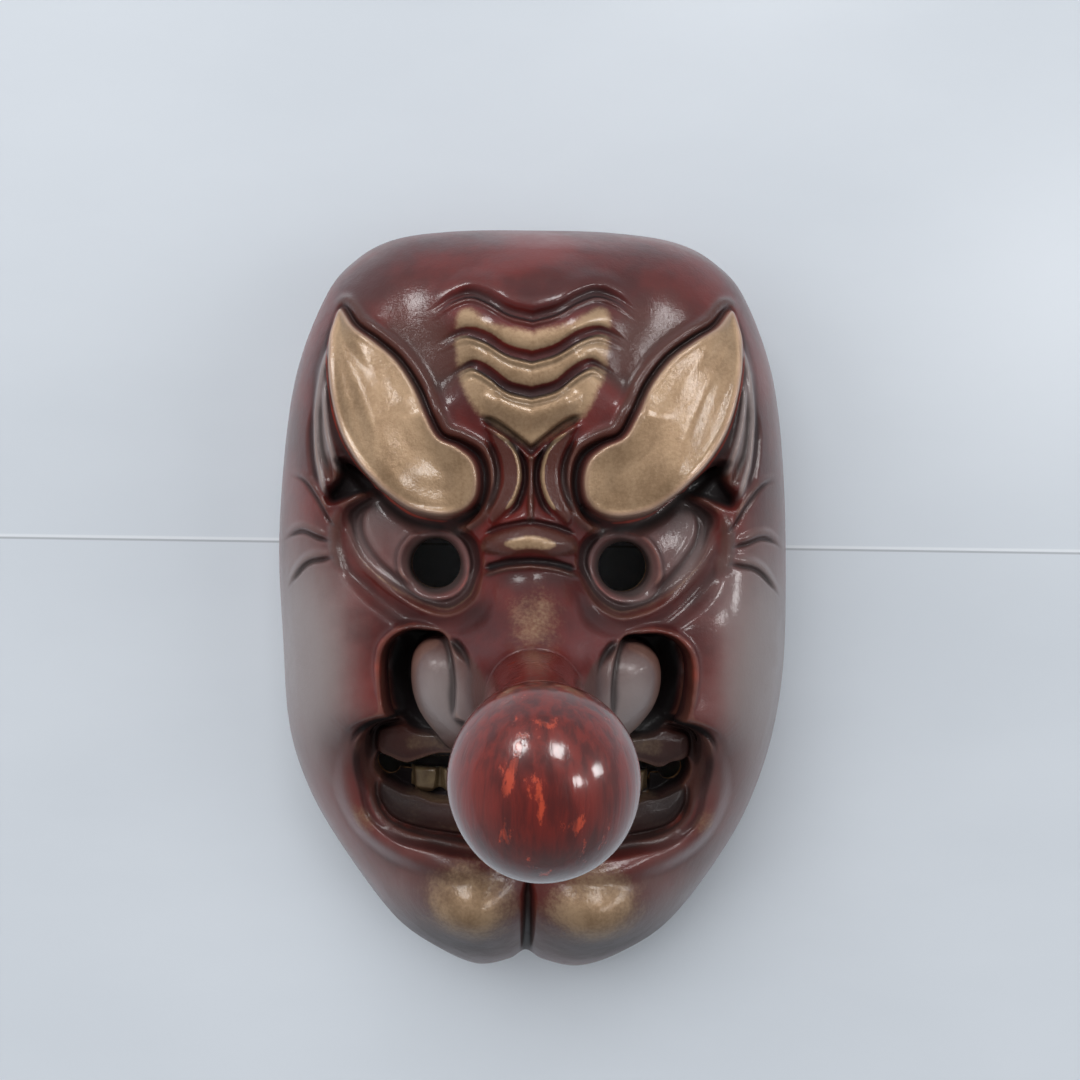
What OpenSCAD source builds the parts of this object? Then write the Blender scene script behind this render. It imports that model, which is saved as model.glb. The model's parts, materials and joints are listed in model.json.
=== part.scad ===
// Carved and lacquered long-nosed mask, lying on its back rim.
// +Z points out of the face along the nose, +Y points to the crown.

/* [Overall] */
// Width across the cheeks
mask_w = 178; // [165:1:185]
// Height from chin to crown
mask_h = 258; // [245:1:265]
// Height of the forehead above the back rim
face_h = 75; // [72:1:80]
// Width of the back rim
rim_w = 9; // [8:0.5:11]
// Depth of the hollow behind the face
hollow_depth = 58; // [50:1:59]

/* [Eyes and mouth] */
// Distance of each eye hole from the middle of the eyes
eye_x = 30; // [29:0.5:33]
// How far the carver set the eyes to one side
eye_drift = -1.5; // [-2:0.5:2]
// Height of the eye holes up the face
eye_y = 12; // [9:0.5:15]
// Radius of each eye hole
eye_r = 8; // [6:0.5:9]
// Distance of each mouth corner from the middle
corner_x = 47; // [44:0.5:49]
// Height of the mouth corners, up the face
corner_y = -55; // [-57:0.5:-53]
// Radius of the opening at each mouth corner
corner_r = 4; // [3:0.5:4.5]
// Height of the slot between the lips, up the face
slot_y = -53; // [-55:0.5:-52]
// Width of the slot between the lips
slot_w = 4; // [3:0.5:5]

/* [Teeth] */
// Half length of the row of teeth
teeth_reach = 39; // [34:1:41]
// Height of the teeth down the face
tooth_h = 8; // [6:0.5:9]
// Thickness of the row, front to back
tooth_t = 5; // [4:0.5:5]
// Radius that the row curves round
teeth_curve = 100; // [95:1:110]
// Number of gaps on each side of the middle
tooth_gaps = 3; // [2:1:4]

/* [Nose] */
// Height of the nose axis up the face
nose_y = -24.6; // [-26:0.2:-23]
// Height of the seat that the nose stands on
seat_z = 104; // [100:1:108]
// Radius of the nose at its seat
nose_r = 14; // [13.5:0.25:15]
// Radius of the round tip
tip_r = 20; // [18:0.5:20.5]
// Height of the middle of the round tip
tip_z = 186; // [184:1:195]
// How far the tip droops towards the chin
tip_droop = 4.8; // [0:0.2:8]

/* [Tenon] */
// Side of the square tenon
tenon_side = 14; // [12:0.5:14.5]
// Depth of the socket in the face
socket_depth = 30; // [24:1:30]
// Length of the tenon inside the nose
tenon_in_nose = 25; // [20:1:30]
// Gap on each side of the tenon in its socket
tenon_gap = 0.08; // [0.05:0.01:0.1]

/* [Cord holes] */
// Radius of each cord hole
cord_r = 2.25; // [1.5:0.25:3]
// Height of the cord holes up the face
cord_y = 22; // [15:1:30]
// Height of the cord holes above the back rim
cord_z = 14; // [10:1:18]

/* [Hidden] */

// Half of the outline, crown to chin, in parts of the half width and half height.
HALF_OUTLINE = [
    [0, 1], [0.30, 0.996], [0.55, 0.972], [0.71, 0.915], [0.83, 0.815],
    [0.945, 0.585], [0.997, 0.25], [1, -0.05], [0.965, -0.33], [0.875, -0.53],
    [0.73, -0.705], [0.54, -0.875], [0.36, -0.96], [0.20, -1], [0.07, -0.985],
    [0, -0.96]
];
half_count = len(HALF_OUTLINE);
OUTLINE = concat(
    HALF_OUTLINE,
    [for (i = [half_count - 2:-1:1]) [-HALF_OUTLINE[i][0], HALF_OUTLINE[i][1]]]
);
steps_per_point = 3;
segments = len(OUTLINE) * steps_per_point;

// Relief: [distance from the middle, height up the face, half width, half height,
// turn, height of the relief]. Each is a soft mound or hollow, on both sides.
RELIEF = [
    [44, 60, 13, 32, 32, 14],     // brow plate
    [62, 42, 9, 24, 20, -7],      // hollow outside the brow
    [35, 13, 22, 14, 0, -13],     // eye socket
    [30, 12, 13, 12, 0, 9],       // eyeball and lid
    [0, 17, 15, 7, 0, 5],         // fold between the eyes
    [31, -28, 9, 17, 16, 17],     // wing of the nose
    [44, -24, 5, 13, 8, -11],     // hollow beside the wing
    [60, -25, 15, 26, 0, 6],      // cheek
    [32, -46, 20, 7, 0, 5],       // upper lip
    [30, -58, 22, 7, 0, -11],     // mouth
    [20, -76, 34, 7, 14, 6],      // lower lip
    [57, -68, 6, 18, -25, 6],     // roll beside the mouth
    [24, -104, 18, 14, 0, 8],     // chin lobe
    [0, -107, 3.5, 20, 0, -7]     // cleft of the chin
];
// Forehead wrinkles: [height up the face, half length, relief].
WRINKLES = [[88, 28, 2.5], [78, 25, 2.5], [68, 22, 2.5]];
wrinkle_w = 3;

side_z = 26;          // where the front turns into the side wall
rim_inset = 2;        // how far the side wall draws in at the back rim
side_power = 3;       // how flat the front is before it falls to the sides
top_power = 5;        // and before it falls to the crown
front_root = 0.6;     // how sharply it falls
boss_fall = 9;        // how quickly the nose root spreads into the face
slack = 0.1;          // glue gap round a let-in piece
seat_gap = 0.1;       // gap under the nose
past = 1;             // how far a cut runs past a face
teeth_top = slot_y - slot_w / 2;
teeth_front_z = 63;   // front of the row of teeth, at the middle
groove_w = 0.8;       // gap between two teeth
groove_deep = 1.5;
$fn = 64;

socket_floor = seat_z - socket_depth;
centre = [0, nose_y];

function curve(a, b, c, d, u) =
    0.5 * (2 * b + (c - a) * u + (2 * a - 5 * b + 4 * c - d) * u * u
    + (3 * b - a - 3 * c + d) * u * u * u);
function outline_point(step) =
    let (
        n = len(OUTLINE),
        i = floor(step / steps_per_point),
        u = step / steps_per_point - i,
        p = curve(OUTLINE[(i + n - 1) % n], OUTLINE[i % n],
            OUTLINE[(i + 1) % n], OUTLINE[(i + 2) % n], u)
    )
    [p[0] * mask_w / 2, p[1] * mask_h / 2];

function mound(x, y, m) =
    let (
        dx = abs(x) - m[0],
        dy = y - m[1],
        u = (dx * cos(m[4]) - dy * sin(m[4])) / m[2],
        v = (dx * sin(m[4]) + dy * cos(m[4])) / m[3]
    )
    m[5] * exp(-u * u - v * v);
function wrinkle(x, y, w) =
    let (
        wave = w[0] - 5 * cos(min(abs(x) * 9, 200)),
        across = (y - wave) / wrinkle_w
    )
    w[2] * exp(-across * across) * max(0, 1 - pow(x / w[1], 4));
function add(list, i = 0) = i < len(list) ? list[i] + add(list, i + 1) : 0;

// The front stays flatter towards the crown than towards the sides.
function front_power(x, y) =
    side_power + (top_power - side_power) * pow(max(0, (y - nose_y) / norm([x, y - nose_y])), 2);
function bulge(x, y, share) = pow(max(0, 1 - pow(share, front_power(x, y))), front_root);
// The face's height at a point, out to share 1 of the way to the outline.
function dome(x, y, share) = side_z + (face_h - side_z) * bulge(x, y, share);
function relief(x, y, share) =
    (1 - pow(share, 6)) * (add([for (m = RELIEF) mound(x, y, m)])
    + add([for (w = WRINKLES) wrinkle(x, y, w)]));
// The nose root rises out of the face as a flared boss with a flat seat.
function boss(r) = r <= nose_r ? 1 : exp(-pow((r - nose_r) / boss_fall, 1.2));
function front_z(x, y, share) =
    let (face = dome(x, y, share) + relief(x, y, share))
    face + (seat_z - face) * boss(norm([x, y - nose_y]));

// One ring of the front: rings near the nose are circles, the outer ones
// grow into the outline.
NOSE_RINGS = [8, 14, 15, 17, 20, 24, 29];
outer_rings = 22;
last_round = NOSE_RINGS[len(NOSE_RINGS) - 1];
function along(step, radius) =
    let (edge = outline_point(step) - centre)
    centre + edge / norm(edge) * radius;
function reach(step) = norm(outline_point(step) - centre);
// Outer rings crowd towards the outline, where the surface turns down.
function outer_share(k) = sin(90 * pow(k / outer_rings, 0.8));
function front_ring(k) =
    [for (j = [0:segments - 1])
        let (
            full = reach(j),
            r = k < len(NOSE_RINGS) ? NOSE_RINGS[k]
                : last_round + (full - last_round) * outer_share(k - len(NOSE_RINGS) + 1),
            p = along(j, r)
        )
        [p[0], p[1], front_z(p[0], p[1], r / full)]
    ];
function flat_ring(inset, z) =
    [for (j = [0:segments - 1])
        let (p = along(j, reach(j) - inset))
        [p[0], p[1], z]
    ];
hollow_rings = 9;
function hollow_ring(k) =
    [for (j = [0:segments - 1])
        let (
            share = cos(90 * k / hollow_rings),
            p = along(j, (reach(j) - rim_w) * share)
        )
        [p[0], p[1], hollow_depth * bulge(p[0], p[1], share)]
    ];

// A closed skin through rings of equal length, with a point at each end.
module skin(rings, start, finish) {
    n = len(rings[0]);
    count = n * len(rings);
    points = concat([for (ring = rings) for (p = ring) p], [start, finish]);
    sides = [for (k = [0:len(rings) - 2]) for (j = [0:n - 1]) for (half = [0, 1])
        let (
            a = k * n + j,
            b = k * n + (j + 1) % n,
            c = a + n,
            d = b + n
        )
        half == 0 ? [a, b, d] : [a, d, c]
    ];
    first = [for (j = [0:n - 1]) [count, (j + 1) % n, j]];
    last = [for (j = [0:n - 1]) [count + 1, count - n + j, count - n + (j + 1) % n]];
    polyhedron(points, concat(first, sides, last));
}

module carved_blank() {
    front = [for (k = [0:len(NOSE_RINGS) + outer_rings - 1]) front_ring(k)];
    rim = [flat_ring(rim_inset, 0), flat_ring(rim_w, 0)];
    hollow = [for (k = [1:hollow_rings - 1]) hollow_ring(k)];
    skin(concat(front, rim, hollow), [0, nose_y, seat_z], [0, nose_y, hollow_depth]);
}

// The row of teeth follows an arc, so its front and back are true cylinders.
module tooth_arc(extra) {
    arc_z = teeth_front_z - teeth_curve;
    translate([0, teeth_top + extra, arc_z])
        rotate([90, 0, 0])
            linear_extrude(tooth_h + 2 * extra)
                intersection() {
                    difference() {
                        circle(teeth_curve + extra);
                        circle(teeth_curve - tooth_t - extra);
                    }
                    translate([-teeth_reach - extra, 0])
                        square([2 * (teeth_reach + extra), teeth_curve + past]);
                }
}

module face_shell() {
    color([0.33, 0.15, 0.15])
    difference() {
        carved_blank();
        for (side = [-1, 1]) {
            translate([side * eye_x + eye_drift, eye_y, 0])
                cylinder(r = eye_r, h = seat_z);
            translate([side * corner_x, corner_y, 0])
                cylinder(r = corner_r, h = seat_z);
            translate([side * mask_w / 4, cord_y, cord_z])
                rotate([0, side * 90, 0])
                    cylinder(r = cord_r, h = mask_w / 2);
        }
        for (side = [0, 1])
            mirror([side, 0, 0])
                translate([nose_r, slot_y - slot_w / 2, 0])
                    cube([corner_x - nose_r, slot_w, seat_z]);
        // The teeth are let in from the front, so their recess is open to it.
        for (lift = [0, 4, 8])
            translate([0, 0, lift])
                tooth_arc(slack);
        socket_side = tenon_side + 2 * tenon_gap;
        translate([-socket_side / 2, nose_y - socket_side / 2, socket_floor])
            cube([socket_side, socket_side, socket_depth + past]);
    }
}

// Nose: radius and sideways place at each height.
neck_end = 150;
ball_start = 177;
function blend(u) = u * u * (3 - 2 * u);
function ball_radius(z) = sqrt(max(0.0001, tip_r * tip_r - (z - tip_z) * (z - tip_z)));
function nose_radius(z) =
    z >= ball_start ? ball_radius(z)
    : z <= neck_end ? nose_r
    : nose_r + (ball_radius(ball_start) - nose_r) * blend((z - neck_end) / (ball_start - neck_end));
function nose_shift(z) = -tip_droop * pow((z - seat_z) / (tip_z - seat_z), 1.6);
nose_segments = 48;
function nose_ring(z) =
    [for (j = [0:nose_segments - 1])
        let (turn = -360 * j / nose_segments, r = nose_radius(z))
        [r * sin(turn), nose_y + nose_shift(z) + r * cos(turn), z]
    ];

module nose() {
    color([0.42, 0.16, 0.14])
    difference() {
        skin(
            concat(
                [for (k = [80:-10:-20]) nose_ring(tip_z + tip_r * sin(k))],
                [for (z = [ball_start:-6:neck_end]) nose_ring(z)],
                [for (z = [138, 126, 114, seat_z + seat_gap]) nose_ring(z)]
            ),
            [0, nose_y + nose_shift(tip_z + tip_r), tip_z + tip_r],
            [0, nose_y, seat_z + seat_gap]
        );
        translate([-tenon_side / 2 - slack, nose_y - tenon_side / 2 - slack, seat_z - past])
            cube([tenon_side + 2 * slack, tenon_side + 2 * slack, tenon_in_nose + past]);
    }
}

module nose_tenon() {
    below = socket_depth - past;
    color([0.62, 0.45, 0.28])
        translate([-tenon_side / 2, nose_y - tenon_side / 2, seat_z - below])
            cube([tenon_side, tenon_side, below + tenon_in_nose - slack]);
}

module upper_teeth() {
    color([0.62, 0.50, 0.30])
    difference() {
        tooth_arc(0);
        pitch = teeth_reach / (tooth_gaps + 1);
        arc_z = teeth_front_z - teeth_curve;
        for (i = [-tooth_gaps:tooth_gaps])
            translate([0, 0, arc_z])
                rotate([0, asin(i * pitch / teeth_curve), 0])
                    translate([-groove_w / 2, teeth_top - tooth_h - past, teeth_curve - groove_deep])
                        cube([groove_w, tooth_h + 2 * past, groove_deep + past]);
    }
}

face_shell();
nose();
nose_tenon();
upper_teeth();
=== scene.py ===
"""A carved, lacquered long-nosed mask: sculpted skins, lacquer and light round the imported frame.

The face is sculpted in millimetres. A half-face canvas of heights takes each carved form in
turn, a field of distances adds the hollow, the undercuts and the holes, and the zero surface
of that field becomes the mesh. +X is across the face, +Y to the crown, +Z out of the face.
"""
import json
import math

import bpy
import numpy as np
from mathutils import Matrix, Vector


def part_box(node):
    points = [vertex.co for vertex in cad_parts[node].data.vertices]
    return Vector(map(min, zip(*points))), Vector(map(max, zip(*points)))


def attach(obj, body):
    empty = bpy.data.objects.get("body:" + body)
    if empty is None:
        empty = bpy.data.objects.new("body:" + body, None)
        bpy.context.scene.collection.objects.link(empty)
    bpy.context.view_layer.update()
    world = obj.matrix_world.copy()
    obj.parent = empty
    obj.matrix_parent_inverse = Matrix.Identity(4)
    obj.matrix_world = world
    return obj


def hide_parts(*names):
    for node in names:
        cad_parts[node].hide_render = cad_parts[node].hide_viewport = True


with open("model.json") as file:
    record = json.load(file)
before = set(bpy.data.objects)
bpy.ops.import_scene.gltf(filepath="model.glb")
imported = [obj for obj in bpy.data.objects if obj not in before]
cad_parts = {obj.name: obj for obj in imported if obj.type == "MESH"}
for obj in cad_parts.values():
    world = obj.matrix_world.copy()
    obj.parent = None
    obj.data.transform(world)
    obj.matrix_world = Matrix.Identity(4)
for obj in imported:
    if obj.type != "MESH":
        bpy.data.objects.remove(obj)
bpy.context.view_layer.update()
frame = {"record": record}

import openvdb
from mathutils import Vector

MM = 0.001


# ---------------------------------------------------------------- sizes from the frame
def box_mm(node):
    low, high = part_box(node)
    return np.array(low) / MM, np.array(high) / MM


def opening_mm(name):
    for entry in frame["record"]["physics"]["openings"]:
        if entry["name"] == name:
            return np.array(entry["box_m"]).mean(axis=0) / MM
    raise ValueError(name)


def mount(name):
    return next(m for m in frame["record"]["mounts"] if m["name"] == name)


_, shell_high = box_mm("face_shell")
nose_low, nose_high = box_mm("nose")
tenon_low, tenon_high = box_mm("nose_tenon")
teeth_low, teeth_high = box_mm("upper_teeth")
SEAT_Z = shell_high[2]
NOSE_Y = (tenon_low[1] + tenon_high[1]) / 2
TIP_R = (nose_high[0] - nose_low[0]) / 2
TIP_Z = nose_high[2] - TIP_R
EYES = [opening_mm("eye_hole_left"), opening_mm("eye_hole_right")]
EYE_DRIFT = (EYES[0][0] + EYES[1][0]) / 2
EYE = EYES[1] - [EYE_DRIFT, 0, 0]
CORNERS = [opening_mm("mouth_corner_left"), opening_mm("mouth_corner_right")]
CORD = np.array(mount("cord_hole_right")["pos_m"]) / MM
CORD_R = mount("cord_hole_right")["dims"]["r_mm"]

FACE_H = 75.0          # forehead above the back rim
SIDE_Z = 26.0          # where the front turns into the side wall
RIM_W = 9.0            # width of the back rim
RIM_INSET = 2.0        # how far the side wall draws in at the rim
HOLLOW_H = 58.0        # depth of the hollow
SIDE_POWER = 3.0       # how flat the front is before it falls to the sides
TOP_POWER = 5.0        # and before it falls to the crown
FRONT_ROOT = 0.6       # how sharply it falls
NOSE_R = 14.0          # nose at its seat
EYE_R = 8.0            # sight holes
CORNER_R = 4.0         # holes at the mouth corners
SLOT_W = 4.0           # the gap that opens the mouth, above the teeth
SOCKET_DEPTH = 30.0
SOCKET_FIT = 0.08      # the gap round the tenon in its socket
SEAT_GAP = nose_low[2] - SEAT_Z

# Half of the outline, crown to chin, in parts of the half width and half height.
HALF_OUTLINE = [
    (0, 1), (0.30, 0.996), (0.55, 0.972), (0.71, 0.915), (0.83, 0.815),
    (0.945, 0.585), (0.997, 0.25), (1, -0.05), (0.965, -0.33), (0.875, -0.53),
    (0.73, -0.705), (0.54, -0.875), (0.36, -0.96), (0.20, -1), (0.07, -0.985),
    (0, -0.96),
]

# ---------------------------------------------------------------- the canvas
STEP = 0.5
X, Y = np.meshgrid(np.arange(0, 96, STEP), np.arange(-134, 134.1, STEP), indexing="ij")


def smooth_line(points, closed=False, steps=8):
    """A dense line through a few points (Catmull-Rom)."""
    p = np.array(points, float)
    if closed:
        p = np.vstack([p[-1], p, p[:2]])
    else:
        p = np.vstack([2 * p[0] - p[1], p, 2 * p[-1] - p[-2]])
    u = np.linspace(0, 1, steps, endpoint=False)[:, None]
    parts = []
    for a, b, c, d in zip(p[:-3], p[1:-2], p[2:-1], p[3:]):
        parts.append(0.5 * (2 * b + (c - a) * u + (2 * a - 5 * b + 4 * c - d) * u ** 2
                            + (3 * b - a - 3 * c + d) * u ** 3))
    parts.append(p[-2][None])
    return np.vstack(parts)


def smoothstep(t):
    t = np.clip(t, 0, 1)
    return t * t * (3 - 2 * t)


def hump(away, width):
    """A bell curve: 1 in the middle, small beyond its width."""
    return np.exp(-(away / width) ** 2)


def soft(deep, edge):
    """Rises from 0 to 1 across an outline, over the width of its edge."""
    return smoothstep(0.5 + deep / edge)


def smooth_max(a, b, r=1.2):
    """The larger of two fields, rounded where they meet."""
    h = np.clip(0.5 + 0.5 * (a - b) / r, 0, 1)
    return b + (a - b) * h + r * h * (1 - h)


def window(line, reach):
    """The part of the canvas within reach of a line's box."""
    low = line.min(axis=0) - reach
    high = line.max(axis=0) + reach
    i0 = max(0, int((low[0] - X[0, 0]) / STEP))
    i1 = min(X.shape[0], int((high[0] - X[0, 0]) / STEP) + 2)
    j0 = max(0, int((low[1] - Y[0, 0]) / STEP))
    j1 = min(X.shape[1], int((high[1] - Y[0, 0]) / STEP) + 2)
    return slice(i0, i1), slice(j0, j1)


def measure(line, x, y):
    """Distance from each place to a line, the side it is on, and its share along the line."""
    a = line[:-1]
    d = line[1:] - a
    length = np.hypot(d[:, 0], d[:, 1])
    ends = np.concatenate([[0], np.cumsum(length)])
    best = np.full(x.shape, 1e9)
    side = np.ones(x.shape)
    along = np.zeros(x.shape)
    for k in range(len(a)):
        if length[k] < 1e-9:
            continue
        px, py = x - a[k, 0], y - a[k, 1]
        t = np.clip((px * d[k, 0] + py * d[k, 1]) / length[k] ** 2, 0, 1)
        gap = np.hypot(px - t * d[k, 0], py - t * d[k, 1])
        closer = gap < best
        best = np.where(closer, gap, best)
        side = np.where(closer, np.sign(d[k, 0] * py - d[k, 1] * px), side)
        along = np.where(closer, (ends[k] + t * length[k]) / ends[-1], along)
    return best, side, along


def inside(line, x, y):
    """True where a place is inside a closed line (even-odd rule)."""
    result = np.zeros(x.shape, bool)
    for (ax, ay), (bx, by) in zip(line[:-1], line[1:]):
        if ay == by:
            continue
        crosses = (ay > y) != (by > y)
        result ^= crosses & (x < (bx - ax) * (y - ay) / (by - ay) + ax)
    return result


# Three of these masks paint light or shade into the colour. The grey sheen mask is a painted sheen (a
# reflection) on the cheeks, sides, jaw, brow blades, eyeballs and nose wings. Pale is partly a worn rim and
# partly a painted highlight on the brow plates. Dark is mostly painted shade in grooves, recesses, holes and
# under overhangs, and on the lips it is their own dark olive.
MASKS = ("gold", "pale", "red", "umber", "ash", "dark")


class Canvas:
    """Heights over the half face, with a mask for each colour."""

    def __init__(self, heights):
        self.h = heights
        for name in MASKS:
            setattr(self, name, np.zeros_like(heights))

    def paint(self, mask, where, weight):
        layer = getattr(self, mask)
        layer[where] = np.maximum(layer[where], weight)

    def stroke(self, points, width, height, ends=(0.12, 0.12), paint=None, strength=1.0, bare=0.0):
        """A ridge (height above 0) or groove along a line, tapering at its ends."""
        line = smooth_line(points)
        where = window(line, width)
        gap, _, along = measure(line, X[where], Y[where])
        taper = np.ones_like(along)
        if ends[0]:
            taper = taper * smoothstep(along / ends[0])
        if ends[1]:
            taper = taper * smoothstep((1 - along) / ends[1])
        half = width * (0.35 + 0.65 * taper)
        profile = 0.5 + 0.5 * np.cos(np.pi * np.clip(gap / half, 0, 1))
        self.h[where] += height * profile * taper
        touched = np.clip(profile * 1.6, 0, 1) * taper
        self.gold[where] *= 1 - bare * touched
        if paint:
            self.paint(paint, where, strength * touched)

    def step(self, points, height, drop, fade, ends):
        """A carved step: the left side of a line stands up and fades away from it."""
        line = smooth_line(points)
        where = window(line, 3 * fade)
        gap, sign, along = measure(line, X[where], Y[where])
        taper = smoothstep(along / ends[0]) * smoothstep((1 - along) / ends[1])
        signed = gap * sign
        rise = smoothstep(0.5 + signed / (2 * drop)) * np.exp(-(np.clip(signed, 0, None) / fade) ** 2)
        self.h[where] += height * rise * taper

    def region(self, points, reach=6, closed=True):
        """Where a closed outline is, and how deep inside it each place is."""
        line = smooth_line(points, closed=closed)
        if not closed:
            line = np.vstack([line, line[:1]])
        where = window(line, reach)
        gap, _, _ = measure(line, X[where], Y[where])
        return where, np.where(inside(line, X[where], Y[where]), gap, -gap)

    def pad(self, points, height, edge, **options):
        """Raises a closed region, with a soft edge."""
        where, deep = self.region(points, **options)
        self.h[where] += height * soft(deep, 2 * edge)

    def bell(self, x, y, rx, ry, height, turn=0.0, mask=None):
        """A soft mound or hollow, or a soft spot of colour."""
        c, s = math.cos(math.radians(turn)), math.sin(math.radians(turn))
        u = ((X - x) * c - (Y - y) * s) / rx
        v = ((X - x) * s + (Y - y) * c) / ry
        spot = np.exp(-u * u - v * v)
        if mask:
            layer = getattr(self, mask)
            np.clip(layer + height * spot, 0, 1, out=layer)
        else:
            self.h += height * spot

    def wash(self, mask, points, strength=1.0, edge=3.0):
        """A soft-edged area of colour inside a closed outline."""
        where, deep = self.region(points, reach=2 * edge)
        self.paint(mask, where, strength * soft(deep, 2 * edge))

    def level(self, where, deep, height, edge):
        """Moves a region to a height, with a soft edge."""
        self.h[where] += (height - self.h[where]) * soft(deep, edge)

    def wipe(self, mask, where, weight):
        getattr(self, mask)[where] *= 1 - weight


def blurred(a, radius):
    """A Gaussian blur; radius in mm."""
    sigma = radius / STEP
    n = int(3 * sigma) + 1
    kernel = np.exp(-0.5 * (np.arange(-n, n + 1) / sigma) ** 2)
    kernel /= kernel.sum()
    for axis in (0, 1):
        padded = np.pad(a, [(n, n) if axis == k else (0, 0) for k in (0, 1)], mode="edge")
        a = sum(w * np.take(padded, np.arange(a.shape[axis]) + i, axis=axis)
                for i, w in enumerate(kernel))
    return a


# ---------------------------------------------------------------- the outline and the dome
half = np.array(HALF_OUTLINE)
outline = smooth_line(np.vstack([half, half[-2:0:-1] * [-1, 1]]), closed=True, steps=12)[:-1]
outline *= np.array([shell_high[0], shell_high[1]]) / outline.max(axis=0)
outline_angle = np.arctan2(outline[:, 0], outline[:, 1] - NOSE_Y)
outline_reach = np.hypot(outline[:, 0], outline[:, 1] - NOSE_Y)
order = np.argsort(outline_angle)
outline_angle, outline_reach = outline_angle[order], outline_reach[order]


def polar(x, y):
    """Distance from the nose axis, and the outline's distance in the same direction."""
    far = np.interp(np.arctan2(x, y - NOSE_Y), outline_angle, outline_reach, period=2 * np.pi)
    return np.hypot(x, y - NOSE_Y), far


def fall_power(x, y):
    """How flat the front stays in each direction: flatter towards the crown."""
    up = np.clip((y - NOSE_Y) / np.maximum(np.hypot(x, y - NOSE_Y), 1e-6), 0, None)
    return SIDE_POWER + (TOP_POWER - SIDE_POWER) * up ** 2


rho, far = polar(X, Y)
share = rho / far
base = SIDE_Z + (FACE_H - SIDE_Z) * np.clip(1 - share ** fall_power(X, Y), 0, 1) ** FRONT_ROOT
face = Canvas(base.copy())


# ---------------------------------------------------------------- carving the face
def big_forms(c):
    """The masses under the carving: brow, sockets, cheeks, muzzle and chin."""
    c.bell(0, 94, 34, 30, 4)                      # forehead
    c.bell(46, 60, 17, 32, 5, turn=30)            # brow mass
    c.bell(38, 16, 25, 15, -11)                   # eye socket
    c.bell(22, 12, 9, 12, -5)                     # inner corner
    c.bell(0, 8, 23, 26, 6.5)                     # bridge of the nose
    c.bell(66, -14, 16, 34, 6)                    # cheek
    c.bell(30, -58, 30, 20, -4)                   # mouth
    c.bell(0, -55, 26, 22, -4)
    c.bell(21, -99, 19, 14, 13)                   # chin lobe
    c.bell(0, -84, 46, 8, -3)                     # under the lower lip


def forehead(c):
    """A raised middle crossed by three waves, with a shallow valley on each side of it."""
    plateau = [(-13, 106), (-4, 110), (4, 110), (13, 106), (15.5, 96), (18.4, 85), (21, 74), (22.6, 65),
               (21.5, 58), (13, 50), (0, 46), (-13, 50), (-22, 62), (-18, 85)]
    c.pad(plateau, 1.8, edge=7, reach=10)
    c.bell(0, 108, 24, 30, 3)
    c.stroke([(42, 108), (39, 94), (36, 82), (31, 70), (25, 61)], 22, -3.2, ends=(0.6, 0.2), paint="umber",
             strength=0.7)
    c.wash("gold", [(0, 84), (12, 87), (20, 92.5), (24, 90), (24, 80), (22, 69), (17.5, 60), (12.6, 56),
                    (6, 52), (0, 49), (-4, 52), (-4, 80)], edge=4)
    waves = [
        [(0, 88), (7.5, 90.2), (14, 94.4), (19.8, 97), (25.4, 95.6), (31, 92.2), (35.5, 90)],
        [(0, 75.2), (7.6, 77.4), (14.6, 81.7), (20.4, 84), (24.6, 83.2), (28.6, 81.4), (32, 79.8)],
        [(0, 64.2), (7.5, 66.2), (13, 70.4), (18.2, 73.3), (21.5, 72.6), (25, 70.6), (28, 69)],
    ]
    for wave in waves:
        line = np.array(wave)
        c.stroke(line + [0, 5.6], 6.0, 0.8, ends=(0, 0.5))
        c.stroke(line + [0, 1.5], 2.5, -1.8, ends=(0, 0.45), paint="red", strength=0.35, bare=1.0)
        # The dark lines in each wave's groove are painted shade.
        c.stroke(line + [0, -0.2], 1.0, -0.8, ends=(0, 0.45), paint="dark", strength=0.9)
        c.stroke(line + [0, -1.5], 1.2, 0.4, ends=(0, 0.4), paint="umber", strength=0.5)
        c.stroke(line + [0, -2.6], 1.1, -0.3, ends=(0, 0.45), paint="dark", strength=0.3)
    c.stroke([(0, 58), (6, 60), (12, 63), (16, 66)], 6, 2.0, ends=(0, 0.4))


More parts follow.
